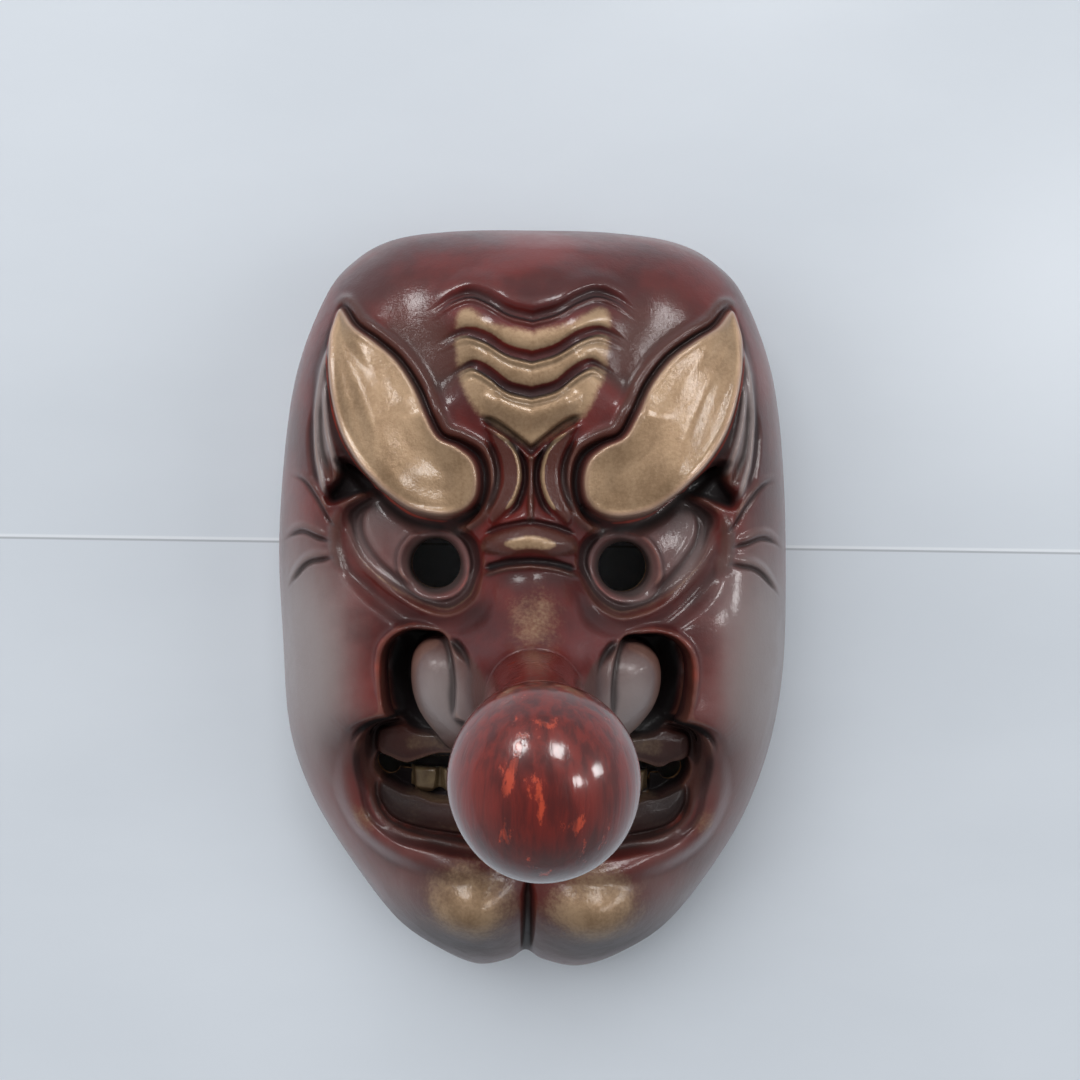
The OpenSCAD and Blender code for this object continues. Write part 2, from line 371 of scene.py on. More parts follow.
def frown(c):
    """The cleft under the forehead's point, and the folded muscles on each side of it."""
    edge = [(17, 58.2), (11.4, 56), (5.7, 52), (2.6, 49.6), (0, 47.6)]
    c.stroke(edge, 2.2, -2.4, ends=(0.25, 0), paint="red", strength=0.5)
    # Painted shade in the cleft's groove.
    c.stroke(np.array(edge) + [0.3, 1.0], 1.0, -0.6, ends=(0.25, 0), paint="dark", strength=0.6)
    c.stroke(np.array(edge) + [0.4, -2.3], 1.3, 1.0, ends=(0.25, 0), paint="red", strength=0.4)
    leaf = [(13.5, 54.6), (6.6, 50.2), (3.8, 45), (3.1, 38.3), (5.2, 31.6), (8.6, 27.4), (11.6, 25),
            (12.6, 27.5), (10.2, 33), (8.8, 38.6), (9.6, 45.2)]
    where, deep = c.region(leaf, reach=5)
    c.h[where] += 2.0 * soft(deep, 2.0)
    c.paint("umber", where, 0.8 * smoothstep(0.2 + deep / 2))
    c.stroke([(13, 54), (6.8, 49.6), (4.2, 44.6), (3.6, 38.3), (5.6, 32), (9.2, 27.6)], 1.0, 0.5,
             ends=(0.15, 0.15), paint="gold", strength=1.0)
    # Painted shade in the two grooves beside the leaf.
    c.stroke([(11, 52), (5.4, 49), (2.5, 44.6), (1.8, 38), (3.8, 31), (7.4, 26.6)], 1.5, -2.2,
             ends=(0.2, 0.2), paint="dark", strength=0.85)
    c.stroke([(14, 52), (11, 45), (10.3, 38.8), (11.6, 33), (14.5, 27)], 1.8, -1.6,
             ends=(0.2, 0.2), paint="dark", strength=0.7)
    c.stroke([(0, 47), (0, 40), (0, 33), (0, 26)], 1.4, 1.5, ends=(0.1, 0), paint="umber", strength=0.9)
    c.pad([(0, 33), (3, 28.5), (7.5, 25.2), (0, 24.4), (-7.5, 25.2), (-3, 28.5)], 1.5, edge=1.4)


PLATE = [(63.6, 95.2), (57.5, 88), (49.8, 82.4), (42.7, 76.4), (36.8, 68.1), (32.2, 58.3), (28.4, 51.7),
         (22.5, 48.8), (17.6, 44.6), (15.9, 38.6), (16.8, 32.4), (20.5, 28.4), (27, 26.6), (36, 28.2),
         (42.5, 32), (48.5, 37.5), (54, 43.5), (59.2, 51.5), (62.6, 60), (65, 70), (66.2, 80), (66, 88)]
PLATE_MIDDLE = (43, 60)
PLATE_LEAN = (-0.86, 0.51)      # across the plate, towards the middle of the forehead


def brow_plate(c):
    """The gilt leaf-shaped brow that stands proud of the face."""
    where, deep = c.region(PLATE, reach=14)
    x, y = X[where], Y[where]
    t = (x - PLATE_MIDDLE[0]) * PLATE_LEAN[0] + (y - PLATE_MIDDLE[1]) * PLATE_LEAN[1]
    u = (x - PLATE_MIDDLE[0]) * PLATE_LEAN[1] - (y - PLATE_MIDDLE[1]) * PLATE_LEAN[0]
    inner = np.maximum(smoothstep((t + 3) / 7), smoothstep((-24 - u) / 7) * smoothstep((28 - x) / 7))
    outer = 1 - inner
    # The leaf leans out: its inner edge is level with the forehead, its lower edge stands proud.
    lower = smoothstep((8 - u) / 34)
    proud = 2.4 + (3.4 + 3.8 * lower) * smoothstep((6 - t) / 18) + 1.2 * lower
    rise = soft(deep, 2.0)
    lip = 0.9 * hump(deep - 1.3, 1.0)
    dish = 1.3 * smoothstep((deep - 1.5) / 8)
    ripple = 0.18 * np.sin(t * 0.72 + 0.015 * u * t + 0.6) * smoothstep((deep - 3) / 5)
    c.h[where] += rise * (proud - dish + lip * (0.4 + 0.6 * outer) + ripple)
    c.paint("gold", where, smoothstep((deep + 0.1) / 1.6))
    # A pale rim along the edge: partly worn, partly a painted highlight where the rounded edge catches the
    # light.
    c.paint("pale", where, (0.3 + 0.7 * outer) * hump(deep - 0.9, 0.85))
    c.paint("red", where, 0.8 * outer * hump(deep + 0.9, 0.7))
    c.paint("red", where, 0.42 * outer * hump(deep - 2.2, 2.2) * smoothstep((u + 8) / 20))
    # A thin groove, darkened with painted shade, and a round bead follow the inner edge and the round end.
    wide = smoothstep((-14 - u) / 12)
    c.h[where] -= (1.8 + wide) * inner * hump(deep + 1.0 + 0.9 * wide, 0.7 + 0.7 * wide)
    c.paint("dark", where, inner * hump(deep + 0.9 + 0.9 * wide, 0.55 + 0.75 * wide))
    c.h[where] += 1.5 * inner * hump(deep + 3.6 + wide, 1.8)
    c.paint("umber", where, inner * hump(deep + 3.4 + wide, 1.8))
    # The underside is cut away.
    c.h[where] -= outer * 4.5 * smoothstep((lower - 0.1) / 0.4) * hump(deep + 3.4, 2.2)
    shade = smoothstep((lower - 0.2) / 0.3) * hump(deep + 2.8, 2.4)
    c.paint("dark", where, 0.95 * outer * shade)


def side_fins(c):
    """Two thin blades outside the brow plate, with a painted sheen along them, and the hollow below them,
    black with painted shade.
    """
    c.stroke([(67.4, 88), (68, 74), (67.6, 60), (65, 49), (61, 41)], 4.2, 1.6, ends=(0.3, 0.2))
    # A grey painted sheen along the blades.
    c.stroke([(63.5, 94.5), (66, 84.5), (69, 72), (70.3, 59.5), (69.4, 46.2), (67, 37), (65, 32)], 1.7, 1.6,
             ends=(0.3, 0.1), paint="ash", strength=0.9)
    c.stroke([(67, 75), (66.8, 64.5), (65.3, 54), (62.5, 44.5), (61, 39.8)], 1.8, 1.4, ends=(0.3, 0.1),
             paint="ash", strength=0.9)
    c.stroke([(68, 68), (68.4, 58), (67, 48), (64.5, 40), (63.8, 36.5)], 2.2, -1.3, ends=(0.3, 0.1),
             paint="umber", strength=0.9)
    c.stroke([(71.5, 66), (72.4, 56), (71.4, 45), (68.4, 35)], 2.4, -1.2, ends=(0.4, 0.2), paint="red",
             strength=0.25)
    c.stroke([(68, 84), (68.6, 70), (68.6, 58), (66.6, 48), (63.4, 40)], 4.0, 0, ends=(0.3, 0.2), paint="ash",
             strength=0.55)
    where, deep = c.region([(61.4, 44.5), (55, 41.5), (50, 36), (55.5, 33.8), (60, 32.4), (64, 31.6),
                            (65, 34.5), (61, 39.6)], reach=8)
    c.h[where] -= 7 * soft(deep, 4)
    # Painted shade blackens the hollow.
    c.paint("dark", where, smoothstep(0.6 + deep / 2.4))


LID = [(15.8, 14), (16.6, 8.4), (19.6, 2.2), (26, -1.9), (33.5, -1.0), (41.5, 2.6), (48.3, 7.4),
       (54.6, 13.8), (57.6, 21.2), (57.6, 29)]
BALL_EDGE = [(33, 1.8), (38, 4.6), (43, 8), (48.4, 13), (52.8, 19.2), (54.2, 25), (52.4, 30.5)]


def eye(c):
    """The eyeball, its lids, the bag under it and the bevelled sight hole."""
    opening = LID + [(48, 34), (36, 27), (25, 24), (18, 20)]
    where, deep = c.region(opening, reach=8)
    x, y = X[where], Y[where]
    # The eyeball is a flattened dome, deepest at the inner corner.
    ball = 67.5 - ((x - 38) / 26) ** 2 * 9 - ((y - 16) / 22) ** 2 * 7
    weight = soft(deep, 4.0)
    c.h[where] += (ball - c.h[where]) * weight
    c.paint("red", where, 0.25 * weight * smoothstep((30 - x) / 10))
    # A grey painted sheen on the eyeball.
    c.paint("ash", where, 0.35 * weight)
    c.stroke(LID, 3.0, 1.7, ends=(0.12, 0.2), paint="umber", strength=0.3)
    c.stroke(np.array(LID) * [0.985, 0.98] + [0.5, 0.3], 0.9, 0.35, ends=(0.15, 0.2), paint="gold",
             strength=0.4)
    # The dark round the eyeball's edge and in the crease under the bag is painted shade.
    c.stroke(BALL_EDGE, 1.6, -0.8, ends=(0.2, 0.2), paint="dark", strength=0.3)
    c.stroke(np.array(BALL_EDGE) - [1.8, -1.2], 1.5, 0.4, ends=(0.3, 0.3))
    bag = [(13, 6), (16.5, -2.5), (26, -7), (36, -6.2), (45, -1.8), (52.6, 4), (59.5, 11.5), (62.4, 22)]
    c.stroke(bag, 5.0, -2.2, ends=(0.15, 0.35), paint="dark", strength=0.3)
    c.stroke([(17, -8), (27, -12), (38, -11), (50, -5)], 5, 0.8, ends=(0.3, 0.3))
    # A bevelled ring stands round the sight hole.
    gap = np.hypot(X - EYE[0], Y - EYE[1])
    ring = hump(gap - EYE_R - 3.2, 1.6)
    c.h += 1.5 * ring
    crater = smoothstep((EYE_R + 2.8 - gap) / 3.6)
    c.h -= 2.8 * crater
    c.red[:] = np.maximum(c.red, 0.55 * hump(gap - EYE_R - 2.8, 0.8))
    c.umber[:] = np.maximum(c.umber, 0.8 * crater)
    # The dark in the ring's groove and at the hole's edge is painted shade.
    c.stroke([(EYE[0] + 12.4 * math.sin(a), EYE[1] + 12.4 * math.cos(a)) for a in np.linspace(0.4, 5.9, 14)],
             1.1, -0.5, ends=(0.1, 0.1), paint="dark", strength=0.4)
    c.dark[:] = np.maximum(c.dark, 0.8 * smoothstep((EYE_R + 0.9 - gap) / 1.6))


def crows_feet(c):
    """Three folds that fan out from the corner of the eye."""
    folds = [
        [(60.5, 22), (64.5, 25), (69, 32), (75, 38.5), (83, 41)],
        [(62.5, 18), (68.5, 19.5), (76, 21.5), (86, 18)],
        [(61, 13.5), (67, 12.6), (74, 10.5), (84, 1)],
    ]
    for fold in folds:
        line = np.array(fold)
        # Painted shade in each fold's groove.
        c.stroke(line, 1.3, -1.5, ends=(0.25, 0.4), paint="dark", strength=0.6)
        c.stroke(line + [0.3, 2.0], 2.4, 1.1, ends=(0.3, 0.5), paint="umber", strength=0.4)
    c.stroke([(60, 31), (62.5, 24), (62.4, 16), (58.5, 7)], 3.6, 1.4, ends=(0.3, 0.3), paint="umber",
             strength=0.6)


def bridge(c):
    """The gilt band between the eyes, with a thinner fold below it."""
    band = [(0, 24.2), (7, 23), (13.4, 20.6), (14, 16.6), (7, 15.4), (0, 16.4),
            (-7, 15.4), (-14, 16.6), (-13.4, 20.6), (-7, 23)]
    where, deep = c.region(band)
    c.h[where] += 2.2 * soft(deep, 3.0) + 1.2 * smoothstep(deep / 4)
    c.paint("umber", where, soft(deep, 2.0))
    c.wash("gold", [(0, 21.4), (5, 20.4), (8, 18.8), (5, 17.4), (0, 17.6), (-5, 17.4), (-8, 18.8),
                    (-5, 20.4)], strength=0.9, edge=1.4)
    # Painted shade in the two grooves above and below the band.
    c.stroke([(0, 25.6), (7, 24.4), (14.5, 21.6)], 1.5, -1.7, ends=(0, 0.2), paint="dark", strength=0.7)
    c.stroke([(0, 13.8), (7.5, 13.0), (15, 10.8)], 1.8, -2.4, ends=(0, 0.2), paint="dark", strength=0.9)
    c.stroke([(0, 12.0), (7.5, 11.2), (15, 8.8)], 1.2, 1.1, ends=(0, 0.2), paint="umber", strength=0.9)


def nose_root(c):
    """The boss that carries the plug-in nose, with its flat seat."""
    r = np.hypot(X, Y - NOSE_Y)
    up = np.clip((Y - NOSE_Y) / np.maximum(r, 1e-6), 0, None)
    c.bell(0, -8, 15, 22, 4)
    flare = np.exp(-np.clip(r - NOSE_R, 0, None) / (8.5 + 6 * up ** 2))
    c.h += (SEAT_Z - c.h) * flare
    c.bell(0, 8, 22, 7, -2.5)
    c.bell(0, -4, 13, 14, 0.5, mask="gold")
    c.bell(14, -2, 10, 14, 0.3, mask="red")


WING = [(21, -13.2), (26.5, -10.4), (33.6, -11.4), (38.2, -15.6), (39.4, -22), (38.4, -29.5), (35.2, -36.5),
        (30, -43), (24, -48), (12, -49), (10, -40), (11, -28), (15.5, -18)]


def nostrils(c):
    """Tall teardrop wings beside the nose, each in a deep recess under a worn red arc."""
    recess = [(27, -11), (34, -9.2), (40.5, -9.6), (45.2, -13), (47.2, -18.6), (47.2, -27), (45.6, -35),
              (40.5, -41), (33, -42.5), (26, -40), (24, -24)]
    where, deep = c.region(recess, reach=8)
    c.level(where, deep, 58, 3)
    # Painted shade blackens the recess.
    c.paint("dark", where, soft(deep, 2.4))
    where, deep = c.region(WING, reach=8)
    pillow = np.sqrt(1 - (1 - np.clip(deep / 12, 0, 1)) ** 2)
    top = 68 + 17 * pillow - 0.012 * np.clip(-16 - Y[where], 0, None) ** 2
    c.level(where, deep, smooth_max(top, c.h[where], 14), 1.6)
    for mask in ("dark", "gold"):
        c.wipe(mask, where, smoothstep(0.35 + deep / 2))
    # The wing is painted brown; the brown left at its top is painted shade, and a grey painted sheen lies
    # over its middle.
    c.paint("umber", where, smoothstep(0.35 + deep / 3))
    c.bell(29, -30, 9, 15, 1.0, mask="ash")
    arc = [(22, -12.5), (27, -9.8), (34, -7.4), (40.4, -7.8), (46.2, -11.2), (49, -16), (49.4, -23.8),
           (48.4, -31), (45.5, -38)]
    c.stroke(arc, 2.6, 2.0, ends=(0.3, 0.35), paint="red", strength=0.6)
    # Painted shade in the fold between the wing and the nose.
    c.stroke([(27, -9.6), (23, -12.2), (20, -16), (18.6, -20)], 2.4, -2.4, ends=(0.3, 0.6), paint="dark",
             strength=0.85)


UPPER_LIP = [(14, -41), (25, -39), (36, -39.6), (44, -40.6), (49.8, -42), (51, -46), (50, -50.2),
             (46.6, -51.4), (43.2, -52.6), (40.3, -53), (37, -51.8), (30.5, -49.6), (25, -49.2), (14, -49)]
LOWER_LIP_TOP = [(0, -65.4), (12, -65.2), (26.9, -64.8), (32, -64.6), (37.3, -62.8), (41.6, -62.5),
                 (46.6, -60.4)]
LIP_BEAD = [(0, -79), (12, -78.6), (23.5, -77.5), (31.6, -76.4), (39.8, -75.2), (45.3, -72.6), (50.2, -67.6),
            (52.2, -59.6), (53.8, -52), (53.4, -45), (50, -40.6)]


def mouth(c):
    """The parted lips: a cavity, the upper lip's sheet, the lower lip and the rim round both."""
    sag = (X / 52) ** 2 * 6
    rim = [(21, -36), (37, -37), (46, -38.2), (52.6, -41.4), (55, -48), (54.8, -55), (52.8, -62),
           (49.8, -69.6), (44, -74.8), (34, -77.4), (20, -79), (0, -80), (0, -60), (10, -50)]
    where, deep = c.region(rim, reach=10)
    c.level(where, deep, 60 - sag[where], 4)
    c.paint("umber", where, 0.9 * soft(deep, 3))
    cavity = [(-10, -50), (0, -50), (14, -49), (25, -49.2), (30.5, -49.6), (37, -51.8), (40.3, -53),
              (43.2, -52.6), (46.6, -51.4), (50, -50.2), (51.4, -54), (49.6, -58.4), (46.6, -61),
              (41.6, -63), (37.3, -63.4), (32, -65), (26.9, -65.2), (12, -65.4), (0, -65.6), (-10, -65)]
    where, deep = c.region(cavity, reach=6)
    c.level(where, deep, 52 - sag[where], 1.4)
    # Painted shade blackens the mouth's cavity.
    c.paint("dark", where, soft(deep, 1.2))
    where, deep = c.region(UPPER_LIP, reach=6)
    c.level(where, deep, 63.5 - sag[where] + smoothstep(deep / 4), 1.8)
    c.wipe("dark", where, soft(deep, 2))
    c.paint("dark", where, 0.45 * soft(deep, 2))
    c.wash("gold", [(20, -42), (34, -41.5), (42, -43.5), (41, -49.5), (34, -48.5), (24, -47.6)], 0.5, 3)
    c.stroke([(14, -48.8), (25, -49), (30.5, -49.6), (37, -51.6), (40.3, -52.8), (43.2, -52.4), (46.6, -51.2),
              (50, -50)], 1.3, 0.7, ends=(0.1, 0.1), paint="gold", strength=0.45)
    lower = LOWER_LIP_TOP + [(49.6, -60), (49.8, -65), (45.6, -70.8), (37.1, -73.5), (23.5, -75), (0, -76),
                             (-10, -76), (-10, -65.4)]
    where, deep = c.region(lower, reach=6, closed=False)
    c.level(where, deep, 62.5 - sag[where] + 1.6 * smoothstep(deep / 5), 2.0)
    c.wipe("dark", where, soft(deep, 2))
    c.paint("dark", where, 0.65 * soft(deep, 2))
    c.paint("gold", where, 0.3 * soft(deep, 3))
    c.stroke(LOWER_LIP_TOP, 1.3, 0.7, ends=(0, 0.2), paint="gold", strength=0.55)
    c.stroke([(0, -77.4), (23.5, -76.2), (38, -74.6), (46.4, -71.2), (50.4, -65), (51.4, -58)], 1.6, -0.8,
             ends=(0, 0.2), paint="red", strength=0.55)
    c.stroke(LIP_BEAD, 1.9, 1.6, ends=(0, 0.15), paint="umber", strength=0.9)
    # Painted shade in the groove outside the bead.
    c.stroke(np.array(LIP_BEAD) * [1.045, 1.03] + [0.4, 0.4], 1.7, -1.2, ends=(0, 0.15), paint="dark",
             strength=0.45)
    c.stroke([(0, -85), (18, -84.6), (34, -82.6), (46, -79.4), (53.4, -74.6), (57.6, -68.4), (60, -60),
              (60, -51), (58, -43)], 6.5, 3.0, ends=(0.5, 0.25))
    c.stroke([(43, -83), (50, -78), (55.4, -71), (58.8, -63), (60, -55)], 6.5, 0, ends=(0.6, 0.6),
             paint="gold", strength=0.55)
    # The cheek folds over the top of the lip, and a dark line under the fold is its painted shadow.
    c.step([(30, -36.4), (40, -35.6), (50, -36.8), (58.5, -41.2), (62, -50)], 3.6, drop=1.8, fade=8,
           ends=(0.2, 0.4))
    c.stroke([(29, -37.8), (42, -37), (51, -38.6), (57, -43.2), (58.8, -50)], 1.9, -2.4, ends=(0.2, 0.4),
             paint="dark")


def chin(c):
    """The cleft between the chin's two lobes, and their colours, with painted shade in the cleft and under
    the lobes.
    """
    c.stroke([(0, -85), (0, -98), (0, -112), (0, -125)], 2.6, -4.2, ends=(0.2, 0), paint="dark",
             strength=0.55)
    c.stroke([(0, -90), (0, -100), (0, -112), (0, -122)], 0.9, 1.4, ends=(0.15, 0.1), paint="umber",
             strength=0.6)
    c.bell(20, -95, 17, 15, 0.85, mask="gold")
    c.bell(22, -108, 30, 22, 1.0, mask="umber")
    c.bell(24, -112, 28, 12, 0.7, mask="dark")


# Soft spots of colour: across, up, half width, half height, strength. The grey spots are a painted sheen on
# the cheeks, sides and jaw; the dark spots are painted shade beside the nose root, under folds and round the
# mouth and chin.
TONES = {
    "ash": [(74, -20, 18, 36, 0.95), (84, 50, 12, 60, 0.35), (70, -70, 14, 26, 0.3), (50, -94, 24, 20, 0.4)],
    "umber": [(34, 4, 26, 14, 0.2), (40, -52, 26, 30, 0.45), (55, 60, 18, 40, 0.5), (12, 40, 16, 18, 0.3)],
    "dark": [(18, 1, 7, 7, 0.5), (62, -50, 9, 14, 0.4), (5, 9, 11, 2.5, 0.5), (34, -5, 16, 4, 0.3),
             (44, -58, 16, 18, 0.28), (24, -86, 22, 4, 0.35)],
}


def tones(c):
    """Broad tones of the lacquer: a grey painted sheen on the cheeks and sides, brown folds round the middle,
    and spots of painted shade.
    """
    for mask, spots in TONES.items():
        for spot in spots:
            c.bell(*spot, mask=mask)


CARVING = (big_forms, forehead, frown, brow_plate, side_fins, eye, crows_feet, bridge, nose_root, mouth,
           nostrils, chin, tones)
for carve_form in CARVING:
    carve_form(face)

# The carving never comes nearer to the hollow than this.
LEAST_WALL = 2.4
hollow_top = HOLLOW_H * np.clip(1 - (rho / (far - RIM_W)) ** fall_power(X, Y), 0, 1) ** FRONT_ROOT
face.h = np.maximum(face.h, (hollow_top + LEAST_WALL) * (share < 0.8))

# ---------------------------------------------------------------- from canvas to solid
VOXEL = 0.5
BAND = 3.0             # the field is kept within this distance of the skin
FAR = 9                # and, while it is built, within this one
LEAST_SLOPE = 0.004    # keeps the distances finite where a slope vanishes
NUDGE = 0.25           # the most that a point of the skin moves in one correction
FX, FY = np.meshgrid(np.arange(-95, 95.1, VOXEL), np.arange(-133, 133.1, VOXEL), indexing="ij")
FZ = np.arange(-2, SEAT_Z + 2.6, VOXEL)


def half_face(x, y):
    """Where a place of the whole face lies on the half-face canvas.

    The carver's hand set the brow and eyes a little to one side, and the jaw to the other.
    """
    brow = -1.9 * smoothstep((y + 5) / 22) * (1 - 0.35 * smoothstep((y - 80) / 40)) * np.exp(-(x / 70) ** 4)
    cheek = 1.2 * hump(y + 22, 25) * smoothstep((abs(x) - 28) / 15)
    jaw = 2.2 * hump(y + 110, 45) * smoothstep(abs(x) / 30)
    tilt = np.tanh(x / 30) * hump(y - 75, 45)
    hold = smoothstep((np.hypot(x, y - NOSE_Y) - 18) / 22)
    sway = 0.2 * np.sin(x * 0.061 + y * 0.043 + 0.6)
    return abs(x - hold * (brow + cheek + jaw + sway)), y - hold * tilt


WX, WY = half_face(FX, FY)


def sample(layer, x, y):
    """Bilinear sample of a canvas layer at places in the half face."""
    u = np.clip((x - X[0, 0]) / STEP, 0, X.shape[0] - 1.001)
    v = np.clip((y - Y[0, 0]) / STEP, 0, X.shape[1] - 1.001)
    i, j = u.astype(int), v.astype(int)
    a, b = u - i, v - j
    return ((1 - a) * (1 - b) * layer[i, j] + a * (1 - b) * layer[i + 1, j]
            + (1 - a) * b * layer[i, j + 1] + a * b * layer[i + 1, j + 1])


def shell_field():
    """The carved shell before its holes are cut: below 0 in the wood, above 0 outside it."""
    rho_f, far_f = polar(WX, WY)
    s = rho_f / far_f
    lift = sample(face.h - base, WX, WY) * (1 - smoothstep((s - 0.9) / 0.1))
    s_x, s_y = np.gradient(s, VOXEL)
    l_x, l_y = np.gradient(lift, VOXEL)
    inner = rho_f / (far_f - RIM_W)
    i_x, i_y = np.gradient(inner, VOXEL)
    gouges = 0.25 * np.sin(FX * 0.55 + 1.6 * np.sin(FY * 0.11)) * np.sin(FY * 0.38 + np.sin(FX * 0.2))
    power = 1 / FRONT_ROOT
    fall = fall_power(WX, WY)
    height = FACE_H - SIDE_Z
    field = np.empty((*FX.shape, len(FZ)), np.float32)
    for k, z in enumerate(FZ):
        u = np.clip((z - lift - SIDE_Z) / height, 0, None)
        draw = RIM_INSET * np.clip(1 - z / SIDE_Z, 0, 1) / far_f
        f = u ** power + (s + draw) ** fall - 1
        f_s = fall * s ** (fall - 1)
        f_z = power * u ** (power - 1) / height
        slope = np.sqrt((f_s * s_x - f_z * l_x) ** 2 + (f_s * s_y - f_z * l_y) ** 2 + f_z ** 2)
        outer = f / np.maximum(slope, LEAST_SLOPE)
        w = np.clip((z + gouges) / HOLLOW_H, 0, None)
        g = w ** power + inner ** fall - 1
        g_s = fall * inner ** (fall - 1)
        g_z = power * w ** (power - 1) / HOLLOW_H
        g_slope = np.sqrt((g_s * i_x) ** 2 + (g_s * i_y) ** 2 + g_z ** 2)
        hollow = g / np.maximum(g_slope, LEAST_SLOPE)
        solid = smooth_max(np.clip(outer, -FAR, FAR), np.clip(-hollow, -FAR, FAR))
        field[:, :, k] = smooth_max(solid, -z + 0 * solid)
    return field


def cut_window(low, high):
    """The part of the field inside a box."""
    lo = [max(0, int((c - o) / VOXEL)) for c, o in zip(low, (FX[0, 0], FY[0, 0], FZ[0]))]
    hi = [int((c - o) / VOXEL) + 2 for c, o in zip(high, (FX[0, 0], FY[0, 0], FZ[0]))]
    return tuple(slice(a, b) for a, b in zip(lo, hi))


def carve(field, low, high, distance, r=0.5):
    """Removes a shape: distance(x, y, z) is below 0 inside it. x is the distance from the middle."""
    for side in (-1, 1):
        ends = sorted((low[0] * side, high[0] * side))
        where = cut_window((ends[0], *low[1:]), (ends[1], *high[1:]))
        x = WX[where[:2]][..., None]
        y = WY[where[:2]][..., None]
        z = FZ[where[2]][None, None, :]
        field[where] = smooth_max(field[where], -distance(x, y, z).astype(np.float32), r)


def tube(path, radii):
    """The distance to a chain of round-ended, tapering tubes."""
    path = np.array(path, float)

    def distance(x, y, z):
        best = 1e9
        for a, b, ra, rb in zip(path[:-1], path[1:], radii[:-1], radii[1:]):
            d = b - a
            t = np.clip(((x - a[0]) * d[0] + (y - a[1]) * d[1] + (z - a[2]) * d[2]) / (d @ d), 0, 1)
            gap = np.sqrt((x - a[0] - t * d[0]) ** 2 + (y - a[1] - t * d[1]) ** 2
                          + (z - a[2] - t * d[2]) ** 2)
            best = np.minimum(best, gap - ra - t * (rb - ra))
        return best
    return distance


def slab(low, high):
    """The distance to a box."""
    low, high = np.array(low, float), np.array(high, float)
    mid, size = (low + high) / 2, (high - low) / 2
    return lambda x, y, z: np.maximum(np.maximum(abs(x - mid[0]) - size[0], abs(y - mid[1]) - size[1]),
                                      abs(z - mid[2]) - size[2])


def bore(field, place, radius, r):
    """A round hole along Z, exactly where the frame has it."""
    where = cut_window((place[0] - radius - 4, place[1] - radius - 4, 30),
                       (place[0] + radius + 4, place[1] + radius + 4, 92))
    gap = np.hypot(FX[where[:2]] - place[0], FY[where[:2]] - place[1])[..., None]
    field[where] = smooth_max(field[where], (radius - gap + 0 * field[where]).astype(np.float32), r)


def build_shell():
    """The whole shell: holes, undercuts, socket, tooth bed and cord holes."""
    field = shell_field()
    for eye_hole in EYES:
        bore(field, eye_hole, EYE_R, 0.8)
    for corner in CORNERS:
        bore(field, corner, CORNER_R, 0.8)
    slot = (NOSE_R, teeth_high[1], 30), (CORNERS[1][0], teeth_high[1] + SLOT_W, 57)
    carve(field, *slot, slab(*slot), 0.3)
    under_brow = [(17, 29, 72), (24, 24, 71), (32, 24, 70), (42, 29.5, 68), (51, 38, 64), (58, 46, 60)]
    carve(field, (8, 12, 50), (70, 58, 84), tube(under_brow, [2.6, 3.6, 3.8, 3.8, 3.6, 2.6]), 1.2)
    recess = [(27, -10, 68), (36, -10, 64), (44, -15, 60), (46.5, -24, 58), (43, -34, 58), (36, -39, 60)]
    carve(field, (18, -52, 46), (58, 2, 80), tube(recess, [1.5, 3.0, 4.6, 4.8, 4.6, 3.0]), 1.0)
    over_lip = [(32, -37.6, 63), (42, -37.2, 61), (52, -40, 57), (56.5, -47, 54)]
    carve(field, (26, -56, 48), (64, -30, 72), tube(over_lip, [0.9, 1.4, 1.6, 1.0]), 0.8)
    behind_lip = [(14, -52, 54), (28, -52, 53), (38, -53, 51), (47, -54, 49)]
    carve(field, (6, -62, 42), (58, -44, 64), tube(behind_lip, [2.6, 3.0, 3.0, 3.0]), 0.5)
    socket = (tenon_high[0] + SOCKET_FIT, tenon_high[1] - NOSE_Y + SOCKET_FIT)
    carve(field, (0, NOSE_Y - 9, SEAT_Z - SOCKET_DEPTH - 1), (9, NOSE_Y + 9, SEAT_Z + 2),
          slab((-socket[0], NOSE_Y - socket[1], SEAT_Z - SOCKET_DEPTH),
               (socket[0], NOSE_Y + socket[1], SEAT_Z + 9)), 0.05)
    seat = cut_window((-20, NOSE_Y - 20, SEAT_Z - 4), (20, NOSE_Y + 20, SEAT_Z + 2))
    field[seat] = np.maximum(field[seat], FZ[seat[2]] - SEAT_Z)      # the flat seat
    teeth = (0, teeth_low[1] - 0.2, teeth_low[2] - 2), (teeth_high[0] + 0.2, teeth_high[1] + 0.2, 62)
    carve(field, *teeth, tooth_bed, 0.2)
    for side in (-1, 1):
        ends = sorted((side * CORD_CUT[0], side * CORD_CUT[1]))
        where = cut_window((ends[0], CORD[1] - 6, CORD[2] - 6), (ends[1], CORD[1] + 6, CORD[2] + 6))
        y, z = FY[where[:2]][..., None], FZ[where[2]][None, None, :]
        cord_hole = CORD_R - np.hypot(y - CORD[1], z - CORD[2]) + 0 * field[where]
        field[where] = smooth_max(field[where], cord_hole, 0.6)
    return field


CORD_CUT = (66, 94)    # how far from the middle each cord hole starts and ends
TEETH_CURVE = 100.0    # the row of teeth follows a circle of this radius
TEETH_TOP_Z = teeth_high[2]
TOOTH_T = 5.0
TOOTH_GAPS = 3         # on each side of the middle gap


def tooth_bed(x, y, z):
    """The curved recess that the strip of teeth is let into, open at the front."""
    r = np.hypot(x, z - (TEETH_TOP_Z - TEETH_CURVE))
    back = (TEETH_CURVE - TOOTH_T - 0.1) - r
    middle_y, half_y = (teeth_low[1] + teeth_high[1]) / 2, (teeth_high[1] - teeth_low[1]) / 2
    across = np.maximum(abs(y - middle_y) - half_y - 0.1, x - teeth_high[0] - 0.1)
    return np.maximum(back, across)


